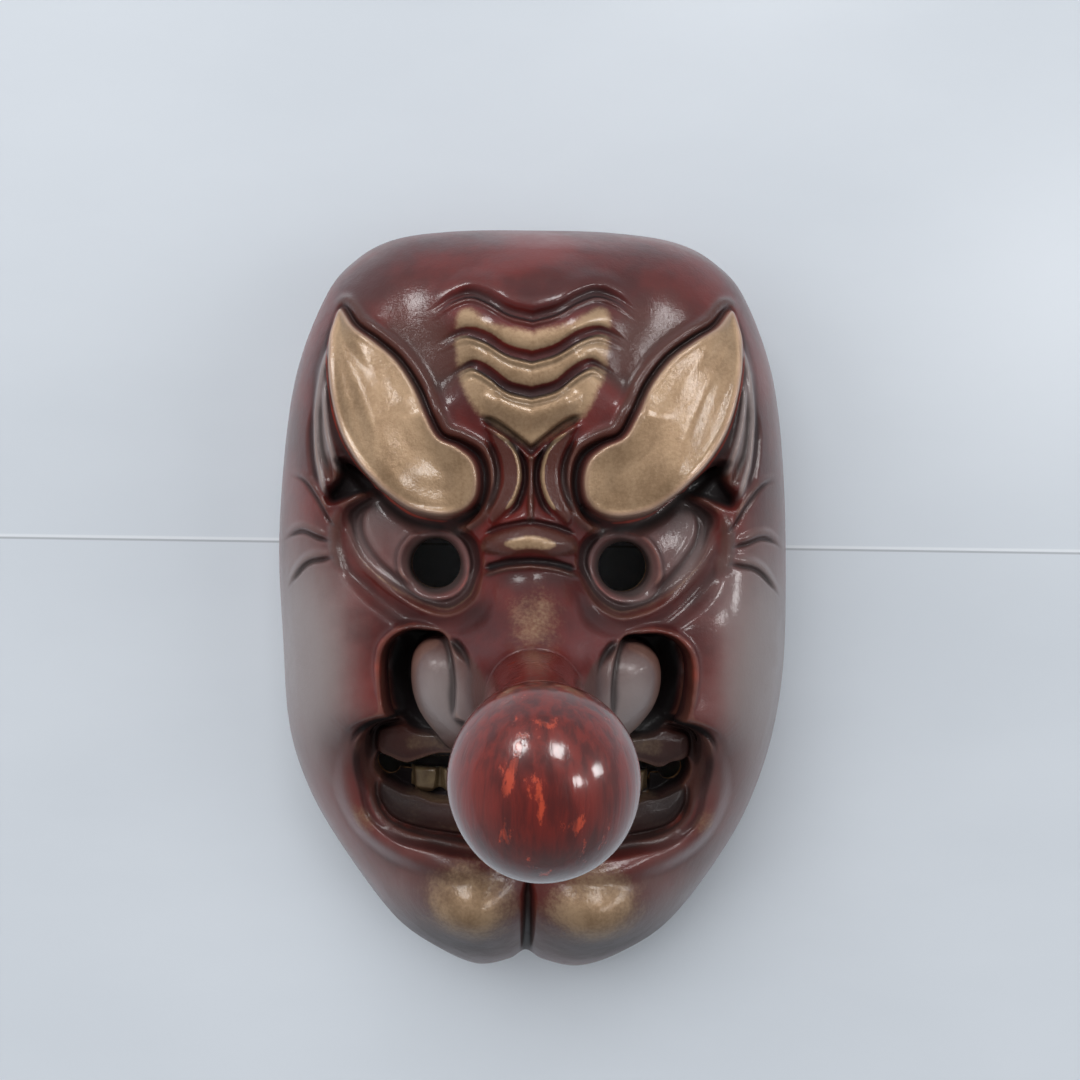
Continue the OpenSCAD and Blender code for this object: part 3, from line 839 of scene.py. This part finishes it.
def sample_field(field, p):
    """Trilinear sample of a field at points in mm."""
    g = (p - [FX[0, 0], FY[0, 0], FZ[0]]) / VOXEL
    g = np.clip(g, 0, np.array(field.shape) - 1.001)
    i = g.astype(int)
    f = (g - i).astype(np.float32)
    total = 0
    for dx in (0, 1):
        for dy in (0, 1):
            for dz in (0, 1):
                weight = (abs(1 - dx - f[:, 0]) * abs(1 - dy - f[:, 1]) * abs(1 - dz - f[:, 2]))
                total = total + weight * field[i[:, 0] + dx, i[:, 1] + dy, i[:, 2] + dz]
    return total


def slope_of(field, p, h=0.5):
    steps = np.eye(3) * h
    g = np.stack([sample_field(field, p + d) - sample_field(field, p - d) for d in steps], axis=1)
    return g / np.maximum(np.linalg.norm(g, axis=1, keepdims=True), 1e-9)


def skin_of(field):
    """The zero surface of a field: points, their outward normals, and the faces."""
    grid = openvdb.FloatGrid(BAND)
    grid.copyFromArray(np.clip(field, -BAND, BAND))
    points, quads = grid.convertToQuads(0.0)
    p = points.astype(float) * VOXEL + [FX[0, 0], FY[0, 0], FZ[0]]
    for _ in range(2):
        n = slope_of(field, p)
        p = p - np.clip(sample_field(field, p), -NUDGE, NUDGE)[:, None] * n
    return p, slope_of(field, p), quads


def add_object(name, data):
    """Puts a mesh, lamp or camera in the scene."""
    item = bpy.data.objects.new(name, data)
    bpy.context.scene.collection.objects.link(item)
    return item


def smooth_piece(name, points_mm, faces, normals):
    """A mesh object shaded by its own normals."""
    mesh = bpy.data.meshes.new(name)
    mesh.vertices.add(len(points_mm))
    mesh.vertices.foreach_set("co", (points_mm * MM).astype(np.float32).ravel())
    mesh.loops.add(faces.size)
    mesh.loops.foreach_set("vertex_index", faces.astype(np.int32).ravel())
    mesh.polygons.add(len(faces))
    mesh.polygons.foreach_set("loop_start", np.arange(0, faces.size, faces.shape[1], dtype=np.int32))
    mesh.update(calc_edges=True)
    mesh.validate()
    mesh.polygons.foreach_set("use_smooth", [True] * len(mesh.polygons))
    mesh.normals_split_custom_set_from_vertices(normals)
    return add_object(name, mesh)


def attribute(piece, name, values):
    """Stores one number per point, for the material."""
    layer = piece.data.attributes.new(name, "FLOAT", "POINT")
    layer.data.foreach_set("value", np.asarray(values, np.float32))


def hollow_gap(x, y, z):
    """Roughly how far a place is from the hollow, in mm."""
    rho_p, far_p = polar(x, y)
    inner = rho_p / (far_p - RIM_W)
    w = np.clip(z / HOLLOW_H, 0, None)
    fall = fall_power(x, y)
    g = w ** (1 / FRONT_ROOT) + inner ** fall - 1
    slope = np.hypot(fall * inner ** (fall - 1) / (far_p - RIM_W),
                     w ** (1 / FRONT_ROOT - 1) / FRONT_ROOT / HOLLOW_H)
    return g / np.maximum(slope, LEAST_SLOPE)


def make_face_shell():
    points, normals, quads = skin_of(build_shell())
    a, b, c = (points[quads[:, i]] for i in (0, 1, 2))
    facing = np.einsum("ij,ij->i", np.cross(b - a, c - a), normals[quads[:, 0]])
    if (facing > 0).mean() < 0.5:
        quads = quads[:, ::-1]
    shell = smooth_piece("carved_face", points, quads, normals)
    x, y = half_face(points[:, 0], points[:, 1])
    wood = smoothstep((2.6 - hollow_gap(x, y, points[:, 2])) / 1.2) * smoothstep((0.35 - normals[:, 2]) / 0.3)
    wood = np.maximum(wood, smoothstep((0.6 - points[:, 2]) / 0.5))
    for name in MASKS:
        attribute(shell, name, sample(getattr(face, name), x, y) * (1 - wood))
    attribute(shell, "wood", wood)
    lift = face.h - base
    relief = lift - blurred(lift, 1.5)
    broad = lift - blurred(lift, 4.0)
    away = np.hypot(x, y - NOSE_Y)
    bare = (1 - wood) * smoothstep((away - NOSE_R - 2) / 3)
    bare *= 1 - smoothstep((sample(share, x, y) - 0.88) / 0.08)
    # worn: convex ridges of the carving, partly rubbed wear and partly a painted highlight.
    attribute(shell, "worn", 0.8 * smoothstep(sample(relief, x, y) / 1.2) * bare)
    # sunk: grooves and hollows of the carving, darkened as painted shade, partly a dark glaze settled there.
    attribute(shell, "sunk", smoothstep(-sample(relief + 0.5 * broad, x, y) / 1.6) * bare)
    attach(shell, "face")
    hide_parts("face_shell")
    return shell


# ---------------------------------------------------------------- the let-in pieces
NECK_END = 150.0       # the straight neck ends at this height
BALL_START = 177.0     # and the ball starts at this one
DROOP = NOSE_Y - (nose_low[1] + TIP_R)      # how far the tip hangs below the nose's root
POCKET_TOP = tenon_high[2] + 0.1
SEAT_TOP = SEAT_Z + SEAT_GAP
POCKET_HALF = 7.1      # half the side of the nose's square pocket
TENON_CORNER = 1.0     # radius of the tenon's edges


def nose_radius(z):
    """The nose's radius at a height: a straight neck that swells into the ball."""
    ball = np.sqrt(np.clip(TIP_R ** 2 - (z - TIP_Z) ** 2, 0, None))
    at_start = math.sqrt(TIP_R ** 2 - (BALL_START - TIP_Z) ** 2)
    lean = (TIP_Z - BALL_START) / at_start
    t = np.clip((z - NECK_END) / (BALL_START - NECK_END), 0, 1)
    neck = NOSE_R + (at_start - NOSE_R) * smoothstep(t) + lean * (BALL_START - NECK_END) * (t ** 3 - t ** 2)
    return np.where(z >= BALL_START, ball, neck)


def nose_centre(z):
    return NOSE_Y - DROOP * np.clip((z - SEAT_Z) / (TIP_Z - SEAT_Z), 0, None) ** 1.6


def ring_mesh(name, rings):
    """A closed skin through rings of equal length."""
    rings = np.array(rings)
    count, n = rings.shape[:2]
    points = rings.reshape(-1, 3)
    start, finish = rings[0].mean(axis=0), rings[-1].mean(axis=0)
    mesh = bpy.data.meshes.new(name)
    faces = []
    for k in range(count - 1):
        for j in range(n):
            j2 = (j + 1) % n
            faces.append((k * n + j, k * n + j2, (k + 1) * n + j2, (k + 1) * n + j))
    last = (count - 1) * n
    faces += [(count * n, (j + 1) % n, j) for j in range(n)]
    faces += [(count * n + 1, last + j, last + (j + 1) % n) for j in range(n)]
    points = np.vstack([points, start[None], finish[None]]) * MM
    mesh.from_pydata(points.tolist(), [], faces)
    mesh.validate()
    return add_object(name, mesh)


def make_nose():
    """The plug-in nose: a shaft that swells into a round ball, with a square pocket underneath."""
    turn = np.linspace(0, 2 * np.pi, 160, endpoint=False)
    heights = np.concatenate([
        np.linspace(SEAT_TOP + 0.12, BALL_START, 110),
        TIP_Z + TIP_R * np.sin(np.linspace(math.asin((BALL_START - TIP_Z) / TIP_R), np.pi / 2, 60)[1:-1]),
        [TIP_Z + TIP_R - 0.005],
    ])
    rings = []

    def ring(z, radius):
        wave = 0.10 * np.sin(3 * turn + z * 0.05) + 0.07 * np.sin(5 * turn - z * 0.09 + 1)
        hand = wave * smoothstep((radius - 4) / 8)
        r = radius + hand
        return np.stack([r * np.sin(turn), nose_centre(z) + r * np.cos(turn), np.full_like(turn, z)], axis=1)

    square = POCKET_HALF / np.maximum(abs(np.sin(turn)), abs(np.cos(turn)))

    def pocket(z, spread=0.0):
        r = square + spread
        return np.stack([r * np.sin(turn), NOSE_Y + r * np.cos(turn), np.full_like(turn, z)], axis=1)

    rings.append(pocket(POCKET_TOP))
    for z in np.linspace(POCKET_TOP - 0.1, SEAT_TOP + 0.5, 12):
        rings.append(pocket(z))
    rings.append(pocket(SEAT_TOP, 0.4))
    rings.append(ring(SEAT_TOP, NOSE_R - 0.12))
    for z in heights:
        rings.append(ring(z, nose_radius(z)))
    nose = ring_mesh("carved_nose", rings)
    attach(nose, "nose")
    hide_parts("nose")
    return nose


def make_tenon():
    """The square tenon, with planed faces and broken edges."""
    low, high = tenon_low, tenon_high
    half_side = (high[0] - low[0]) / 2
    rings = []

    def ring(z, shrink):
        flat = half_side - shrink - TENON_CORNER
        points = []
        for q in range(4):
            a = q * np.pi / 2
            for k in range(5):
                t = a + k * np.pi / 8
                points.append([flat * [1, -1, -1, 1][q] + TENON_CORNER * math.cos(t),
                               NOSE_Y + flat * [1, 1, -1, -1][q] + TENON_CORNER * math.sin(t), z])
        return np.array(points)

    rings.append(ring(low[2], 0.9))
    rings.append(ring(low[2] + 0.25, 0.35))
    for z in np.linspace(low[2] + 0.8, high[2] - 0.8, 12):
        rings.append(ring(z, 0.03 + 0.03 * math.sin(z * 0.6)))
    rings.append(ring(high[2] - 0.25, 0.35))
    rings.append(ring(high[2], 0.9))
    tenon = ring_mesh("carved_tenon", rings)
    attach(tenon, "nose")
    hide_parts("nose_tenon")
    return tenon


def make_teeth():
    """The row of upper teeth: one strip, carved into rounded teeth that narrow downwards."""
    reach_x = teeth_high[0]
    top, bottom = teeth_high[1], teeth_low[1]
    pitch = reach_x / (TOOTH_GAPS + 1)
    across = np.linspace(-reach_x, reach_x, 361)
    down = np.linspace(0, 1, 29)
    arc_z = TEETH_TOP_Z - TEETH_CURVE
    u = (across / pitch) % 1.0
    grid_u, grid_v = np.meshgrid(u, down, indexing="ij")
    centre_gap = np.minimum(grid_u, 1 - grid_u)
    narrow = 0.07 + 0.10 * grid_v ** 2
    cut = 2.6 * (1 - smoothstep((centre_gap - narrow * 0.4) / (narrow + 0.06)))
    crown = 0.9 * (1 - (2 * grid_u - 1) ** 2)
    round_off = 2.2 * smoothstep((grid_v - 0.72) / 0.28) ** 1.5 + 0.5 * smoothstep((0.1 - grid_v) / 0.1)
    front_r = TEETH_CURVE - 0.9 - cut + crown - round_off
    front_r = np.minimum(front_r, TEETH_CURVE)
    back_r = TEETH_CURVE - TOOTH_T
    x = np.broadcast_to(across[:, None], grid_u.shape)
    y = top + (bottom - top) * grid_v
    lift = 0.35 * smoothstep((grid_v - 0.8) / 0.2) * (2 * grid_u - 1) ** 2 * 4
    y = np.minimum(y + lift, top)

    def at(radius):
        xx = np.clip(x, -radius * 0.999, radius * 0.999)
        return np.stack([xx, y, arc_z + np.sqrt(radius ** 2 - xx ** 2)], axis=-1)

    front = at(front_r)
    back = at(np.full_like(front_r, back_r))
    rings = [np.vstack([front[i], back[i][::-1]]) for i in range(len(across))]
    teeth = ring_mesh("carved_teeth", rings)
    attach(teeth, "face")
    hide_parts("upper_teeth")
    return teeth


# ---------------------------------------------------------------- materials
class Nodes:
    """A short way to write a material's nodes."""

    def __init__(self, name):
        self.material = bpy.data.materials.new(name)
        self.material.use_nodes = True
        self.tree = self.material.node_tree
        self.tree.nodes.clear()
        self.output = self.new("ShaderNodeOutputMaterial")
        self.shader = self.new("ShaderNodeBsdfPrincipled")
        self.link(self.shader.outputs[0], self.output.inputs[0])
        self.place = self.new("ShaderNodeTexCoord").outputs["Object"]

    def new(self, kind, **settings):
        node = self.tree.nodes.new(kind)
        for key, value in settings.items():
            setattr(node, key, value)
        return node

    def link(self, a, b):
        self.tree.links.new(a, b)

    def put(self, value, socket):
        if isinstance(value, bpy.types.NodeSocket):
            self.link(value, socket)
        else:
            socket.default_value = value

    def mask(self, name):
        return self.new("ShaderNodeAttribute", attribute_name=name).outputs["Fac"]

    def math(self, operation, a, b=0.0, clamp=False):
        node = self.new("ShaderNodeMath", operation=operation, use_clamp=clamp)
        self.put(a, node.inputs[0])
        self.put(b, node.inputs[1])
        return node.outputs[0]

    def add(self, a, b):
        return self.math("ADD", a, b)

    def times(self, a, b):
        return self.math("MULTIPLY", a, b)

    def ramp(self, value, low, high, to_low=0.0, to_high=1.0):
        node = self.new("ShaderNodeMapRange", interpolation_type="SMOOTHSTEP")
        self.put(value, node.inputs["Value"])
        limits = {"From Min": low, "From Max": high, "To Min": to_low, "To Max": to_high}
        for name, number in limits.items():
            node.inputs[name].default_value = number
        return node.outputs["Result"]

    def mix(self, share, a, b):
        node = self.new("ShaderNodeMix", data_type="RGBA")
        self.put(share, node.inputs[0])
        for value, socket in ((a, node.inputs[6]), (b, node.inputs[7])):
            self.put(value if isinstance(value, bpy.types.NodeSocket) else (*value, 1), socket)
        return node.outputs[2]

    def stretched(self, scale, turn=(0, 0, 0)):
        node = self.new("ShaderNodeMapping")
        self.link(self.place, node.inputs["Vector"])
        node.inputs["Scale"].default_value = scale
        node.inputs["Rotation"].default_value = turn
        return node.outputs[0]

    def noise(self, scale, detail=4, place=None, roughness=0.55, distortion=0.0):
        node = self.new("ShaderNodeTexNoise")
        self.link(place or self.place, node.inputs["Vector"])
        node.inputs["Scale"].default_value = scale
        node.inputs["Detail"].default_value = detail
        node.inputs["Roughness"].default_value = roughness
        node.inputs["Distortion"].default_value = distortion
        return node.outputs["Fac"]

    def bump(self, height, depth_mm):
        node = self.new("ShaderNodeBump")
        self.put(height, node.inputs["Height"])
        node.inputs["Distance"].default_value = depth_mm * MM
        node.inputs["Strength"].default_value = 1.0
        return node.outputs[0]

    def set(self, **values):
        for name, value in values.items():
            self.put(value, self.shader.inputs[name.replace("_", " ")])


MAROON = (0.155, 0.0125, 0.009)
MAROON_DEEP = (0.058, 0.0075, 0.007)
UMBER = (0.070, 0.018, 0.012)
PAINTED_SHEEN = (0.245, 0.198, 0.192)
PAINTED_SHADE_COLOUR = (0.006, 0.005, 0.0055)
GOLD = (0.37, 0.245, 0.145)
GOLD_DULL = (0.25, 0.155, 0.085)
WORN_RIM_HIGHLIGHT = (0.50, 0.34, 0.26)
VERMILION = (0.36, 0.035, 0.016)
WOOD_LIGHT = (0.46, 0.27, 0.13)
WOOD_DARK = (0.25, 0.125, 0.055)
RUBBED_RIDGE_HIGHLIGHT = (0.30, 0.15, 0.10)
NOSE_DARK = (0.070, 0.007, 0.006)
NOSE_RED = (0.165, 0.012, 0.007)
NOSE_BRIGHT = (0.20, 0.017, 0.010)
NOSE_UNDER_SHADE = (0.040, 0.007, 0.007)
NOSE_NECK = (0.085, 0.014, 0.011)
NOSE_CHIP = (0.42, 0.050, 0.020)
GILT_DARK = (0.070, 0.042, 0.021)
GILT_LIGHT = (0.130, 0.090, 0.046)
GILT_GRIME = (0.04, 0.02, 0.012)
TABLE_DARK = (0.60, 0.645, 0.70)
TABLE_LIGHT = (0.645, 0.69, 0.745)
SEAM_EDGE = (0.8, 0.83, 0.87)
SEAM_DARK = (0.25, 0.26, 0.28)
DAYLIGHT = (0.94, 0.97, 1.0, 1)


def lacquer_material():
    """The face's worn lacquer, with gold rubbed over it and bare wood at the back."""
    n = Nodes("aged_lacquer")
    large = n.noise(28, 5)
    mid = n.noise(110, 6)
    fine = n.noise(900, 3)
    streaks = n.noise(90, 4, n.stretched((1, 0.18, 1)))
    worn, sunk, wood = n.mask("worn"), n.mask("sunk"), n.mask("wood")
    # Red lacquer with darker clouds, brown in the folds, and a grey painted sheen on the cheeks.
    colour = n.mix(n.ramp(large, 0.35, 0.68), MAROON_DEEP, MAROON)
    umber = n.ramp(n.add(n.mask("umber"), n.times(mid, 0.5)), 0.3, 1.1)
    colour = n.mix(umber, colour, UMBER)
    ash = n.ramp(n.add(n.mask("ash"), n.times(n.add(mid, streaks), 0.2)), 0.2, 1.15)
    colour = n.mix(ash, colour, PAINTED_SHEEN)
    # Gold rubbed over it, thin at its edges.
    gold_mask = n.mask("gold")
    patchy = n.add(n.times(mid, 0.6), n.times(fine, 0.4))
    gilt = n.ramp(n.add(gold_mask, n.times(patchy, 0.7)), 0.62, 1.15)
    gilt = n.times(gilt, n.ramp(gold_mask, 0.02, 0.25))
    speckle = n.add(n.add(n.times(mid, 0.35), n.times(streaks, 0.4)), n.times(fine, 0.25))
    gold = n.mix(n.ramp(speckle, 0.38, 0.60), GOLD_DULL, GOLD)
    colour = n.mix(gilt, colour, gold)
    # Ridges rubbed lighter: partly rubbed wear, partly a painted highlight on the ridges.
    rubbed = n.times(n.ramp(n.add(worn, n.times(mid, 0.5)), 0.75, 1.3), 0.32)
    colour = n.mix(rubbed, colour, RUBBED_RIDGE_HIGHLIGHT)
    # Painted shade: the dark mask and the sunk attribute darken grooves, recesses, holes and undersides
    # towards near black; in the grooves this is partly a dark glaze, on the lips their own dark olive.
    shade = n.math("MAXIMUM", n.times(n.mask("dark"), 0.97), n.times(sunk, 0.7))
    colour = n.mix(shade, colour, PAINTED_SHADE_COLOUR)
    red = n.times(n.ramp(n.add(n.mask("red"), n.times(mid, 0.6)), 0.75, 1.25), 0.8)
    colour = n.mix(red, colour, VERMILION)
    # The brow plates' rims: partly a worn edge, partly a painted highlight.
    colour = n.mix(n.times(n.mask("pale"), 0.9), colour, WORN_RIM_HIGHLIGHT)
    grain = n.noise(240, 5, n.stretched((1, 0.08, 1)))
    timber = n.mix(n.ramp(grain, 0.35, 0.7), WOOD_DARK, WOOD_LIGHT)
    n.set(Base_Color=n.mix(wood, colour, timber))
    n.set(Metallic=n.times(gilt, n.math("SUBTRACT", 0.4, n.times(shade, 0.4), clamp=True)))
    n.set(Roughness=n.add(n.ramp(mid, 0.3, 0.7, 0.40, 0.50), n.times(n.math("MAXIMUM", wood, shade), 0.25)))
    n.set(Specular_IOR_Level=0.3, Coat_Roughness=0.14, Coat_IOR=1.5)
    bare = n.math("MAXIMUM", wood, n.times(shade, 0.8))
    n.set(Coat_Weight=n.times(n.math("SUBTRACT", 1.0, bare, clamp=True), 0.55))
    micro = n.add(n.times(n.noise(420, 3), 0.6), n.times(n.noise(1500, 2), 0.4))
    hide = n.times(n.noise(260, 6, n.stretched((1, 0.5, 1)), roughness=0.7), n.add(n.mask("umber"), 0.15))
    height = n.add(micro, n.times(hide, 2.5))
    n.set(Normal=n.bump(height, 0.12), Coat_Normal=n.bump(height, 0.09))
    return n.material


# Where the nose's lacquer has rubbed through to vermilion: across, up (mm from the tip's middle), size.
RUBS = [(-8, 5, 6), (-2.5, 3.5, 5), (1.5, -4, 6), (2, 14, 5), (10.5, 10, 5), (13, -4, 5), (-12, 9.5, 5)]


def nose_material():
    """Glossy red lacquer, streaked and chipped."""
    n = Nodes("worn_nose_lacquer")
    large = n.noise(40, 5)
    streaks = n.noise(420, 5, n.stretched((1, 0.12, 1), (0, 0, 0.35)), distortion=0.3)
    spots = n.noise(150, 6, n.stretched((1, 0.45, 1), (0, 0, 0.6)), roughness=0.68)
    base = n.mix(n.ramp(streaks, 0.35, 0.66), NOSE_DARK, NOSE_RED)
    base = n.mix(n.times(n.ramp(large, 0.42, 0.7), 0.6), base, NOSE_BRIGHT)
    parts = n.new("ShaderNodeSeparateXYZ")
    n.link(n.place, parts.inputs[0])
    low = (NOSE_Y - DROOP) * MM
    # Painted shade under the ball, and a darker neck towards the root.
    base = n.mix(n.ramp(parts.outputs["Y"], low - 0.017, low + 0.004, 0.75, 0.0), base, NOSE_UNDER_SHADE)
    base = n.mix(n.ramp(parts.outputs["Z"], 0.105, 0.150, 0.8, 0.0), base, NOSE_NECK)
    rubbed = 0.0
    for x, y, reach in RUBS:
        gap = n.new("ShaderNodeVectorMath", operation="DISTANCE")
        n.link(n.place, gap.inputs[0])
        height = math.sqrt(TIP_R ** 2 - x * x - y * y)
        gap.inputs[1].default_value = Vector((x, NOSE_Y - DROOP + y, TIP_Z + height)) * MM
        rubbed = n.math("MAXIMUM", rubbed, n.ramp(gap.outputs["Value"], 0.0, reach * MM, 1.0, 0.0))
    chips = n.ramp(n.add(spots, n.times(rubbed, 0.12)), 0.60, 0.66)
    colour = n.mix(n.times(chips, n.ramp(streaks, 0.40, 0.60, 0.3, 0.95)), base, NOSE_CHIP)
    n.set(Base_Color=colour, Roughness=n.ramp(streaks, 0.3, 0.7, 0.32, 0.42), Specular_IOR_Level=0.25)
    n.set(Coat_Weight=1.0, Coat_Roughness=0.12, Coat_IOR=1.5)
    height = n.add(n.times(streaks, 1.0), n.times(chips, -0.3))
    n.set(Normal=n.bump(height, 0.12), Coat_Normal=n.bump(height, 0.07))
    return n.material


def bare_wood_material():
    n = Nodes("bare_cypress")
    grain = n.noise(300, 6, n.stretched((1, 1, 0.05)), distortion=0.4)
    colour = n.mix(n.ramp(grain, 0.35, 0.68), WOOD_DARK, WOOD_LIGHT)
    n.set(Base_Color=colour, Roughness=n.ramp(grain, 0.3, 0.7, 0.5, 0.7))
    n.set(Normal=n.bump(grain, 0.12))
    return n.material


def gilt_material():
    n = Nodes("aged_gilt")
    mid = n.noise(160, 6)
    fine = n.noise(1200, 3)
    colour = n.mix(n.ramp(mid, 0.35, 0.65), GILT_DARK, GILT_LIGHT)
    colour = n.mix(n.times(n.ramp(n.noise(70, 6), 0.5, 0.75), 0.7), colour, GILT_GRIME)
    n.set(Base_Color=colour, Metallic=0.4, Roughness=n.ramp(fine, 0.3, 0.7, 0.35, 0.55))
    n.set(Coat_Weight=0.5, Coat_Roughness=0.2)
    n.set(Normal=n.bump(mid, 0.15))
    return n.material


SEAM_Y = 0.018         # metres
SEAM_TILT = 0.0034


def table_material():
    """A pale worn tabletop, with the seam where its two boards meet."""
    n = Nodes("pale_table")
    smear = n.noise(3, 6, n.stretched((1, 2.4, 1), (0, 0, 0.5)))
    colour = n.mix(n.ramp(smear, 0.3, 0.75), TABLE_DARK, TABLE_LIGHT)
    parts = n.new("ShaderNodeSeparateXYZ")
    n.link(n.place, parts.inputs[0])
    seam_y = n.add(n.times(parts.outputs["X"], SEAM_TILT), SEAM_Y)
    off_seam = n.math("SUBTRACT", parts.outputs["Y"], seam_y)
    seam = n.ramp(n.math("ABSOLUTE", off_seam), 0.0002, 0.0006, 1.0, 0.0)
    edge = n.ramp(n.math("ABSOLUTE", n.math("SUBTRACT", off_seam, 0.0009)), 0.0003, 0.0009, 1.0, 0.0)
    colour = n.mix(n.times(edge, 0.6), colour, SEAM_EDGE)
    colour = n.mix(n.times(seam, 0.55), colour, SEAM_DARK)
    n.set(Base_Color=colour, Roughness=n.ramp(smear, 0.3, 0.8, 0.32, 0.42))
    return n.material


shell = make_face_shell()
nose = make_nose()
tenon = make_tenon()
teeth = make_teeth()
for piece, material in ((shell, lacquer_material()), (nose, nose_material()), (tenon, bare_wood_material()),
                        (teeth, gilt_material())):
    piece.data.materials.append(material)
for piece in (nose, teeth):
    piece.data.polygons.foreach_set("use_smooth", [True] * len(piece.data.polygons))

# ---------------------------------------------------------------- the stage, camera and light
scene = bpy.context.scene
scene.view_settings.view_transform = "Standard"
scene.view_settings.look = "None"

TABLE_DROP = 0.0003    # the mask stands just clear of the table
bpy.ops.mesh.primitive_plane_add(size=30, location=(0, 0, -TABLE_DROP))
table = bpy.context.object
table.name = "table"
table.data.materials.append(table_material())

CAMERA_PLACE = (-7.8, 19.9, 410)     # mm
SENSOR = 36                          # mm
FRAME_PX = 1080
FOCAL_PX = 1083                      # an assumed lens, 53 degrees across the frame
VIEW_SHIFT = 30 / FRAME_PX
LEAN = 0.0181                        # the mask's top leans to the right in the frame
lens = bpy.data.cameras.new("photo_lens")
lens.sensor_width = SENSOR
lens.lens = SENSOR * FOCAL_PX / FRAME_PX
lens.shift_x = VIEW_SHIFT
camera = add_object("photo_camera", lens)
camera.location = Vector(CAMERA_PLACE) * MM
camera.rotation_euler = (0, 0, math.atan(LEAN))
scene.camera = camera


def lamp(name, place, aim, size, radiance):
    """A soft rectangular light at a place (mm) that faces another; size in metres."""
    data = bpy.data.lights.new(name, "AREA")
    data.shape = "RECTANGLE"
    data.size, data.size_y = size
    data.energy = math.pi * size[0] * size[1] * radiance
    light = add_object(name, data)
    light.location = Vector(place) * MM
    light.rotation_mode = "QUATERNION"
    light.rotation_quaternion = (Vector(place) - Vector(aim)).to_track_quat("Z", "Y")
    light.visible_camera = False
    return light


# Small windows, in the directions that put their reflections on the round tip.
TIP = Vector((0, NOSE_Y, TIP_Z))
WINDOW_AWAY = 1500     # mm from the tip
WINDOW_RADIANCE = 18
WINDOWS = [("window_left", (-0.434, 0.767, 0.472), 0.34), ("window_top", (0.25, 0.765, 0.59), 0.34),
           ("window_right", (0.836, 0.388, 0.389), 0.25), ("window_high", (0.599, 0.305, 0.741), 0.25)]
for lamp_name, direction, size in WINDOWS:
    window_place = TIP + Vector(direction) * WINDOW_AWAY
    window_light = lamp(lamp_name, window_place, TIP, (size, size), WINDOW_RADIANCE)
    window_light.visible_diffuse = False
# Broad daylight from above the crown and from the left leaves the shadow under the chin.
WALLS = [("daylight_above", (-900, 3000, 4200), (5, 3), 4.2),
         ("daylight_left", (-4200, 300, 3200), (4, 3), 1.9),
         ("daylight_right", (4200, -600, 3200), (4, 3), 1.7)]
for lamp_name, place, size, radiance in WALLS:
    wall_light = lamp(lamp_name, place, (0, 0, 0), size, radiance)
    wall_light.visible_glossy = False

world = bpy.data.worlds.new("bright_room")
scene.world = world
world.use_nodes = True
sky = world.node_tree.nodes["Background"]
way = world.node_tree.nodes.new("ShaderNodeTexCoord")
parts = world.node_tree.nodes.new("ShaderNodeSeparateXYZ")
rise = world.node_tree.nodes.new("ShaderNodeMapRange")
rise.interpolation_type = "SMOOTHSTEP"
world.node_tree.links.new(way.outputs["Generated"], parts.inputs[0])
world.node_tree.links.new(parts.outputs["Z"], rise.inputs["Value"])
world.node_tree.links.new(rise.outputs["Result"], sky.inputs["Strength"])
for name, number in (("From Min", 0.0), ("From Max", 0.95), ("To Min", 0.46), ("To Max", 0.20)):
    rise.inputs[name].default_value = number
sky.inputs["Color"].default_value = DAYLIGHT
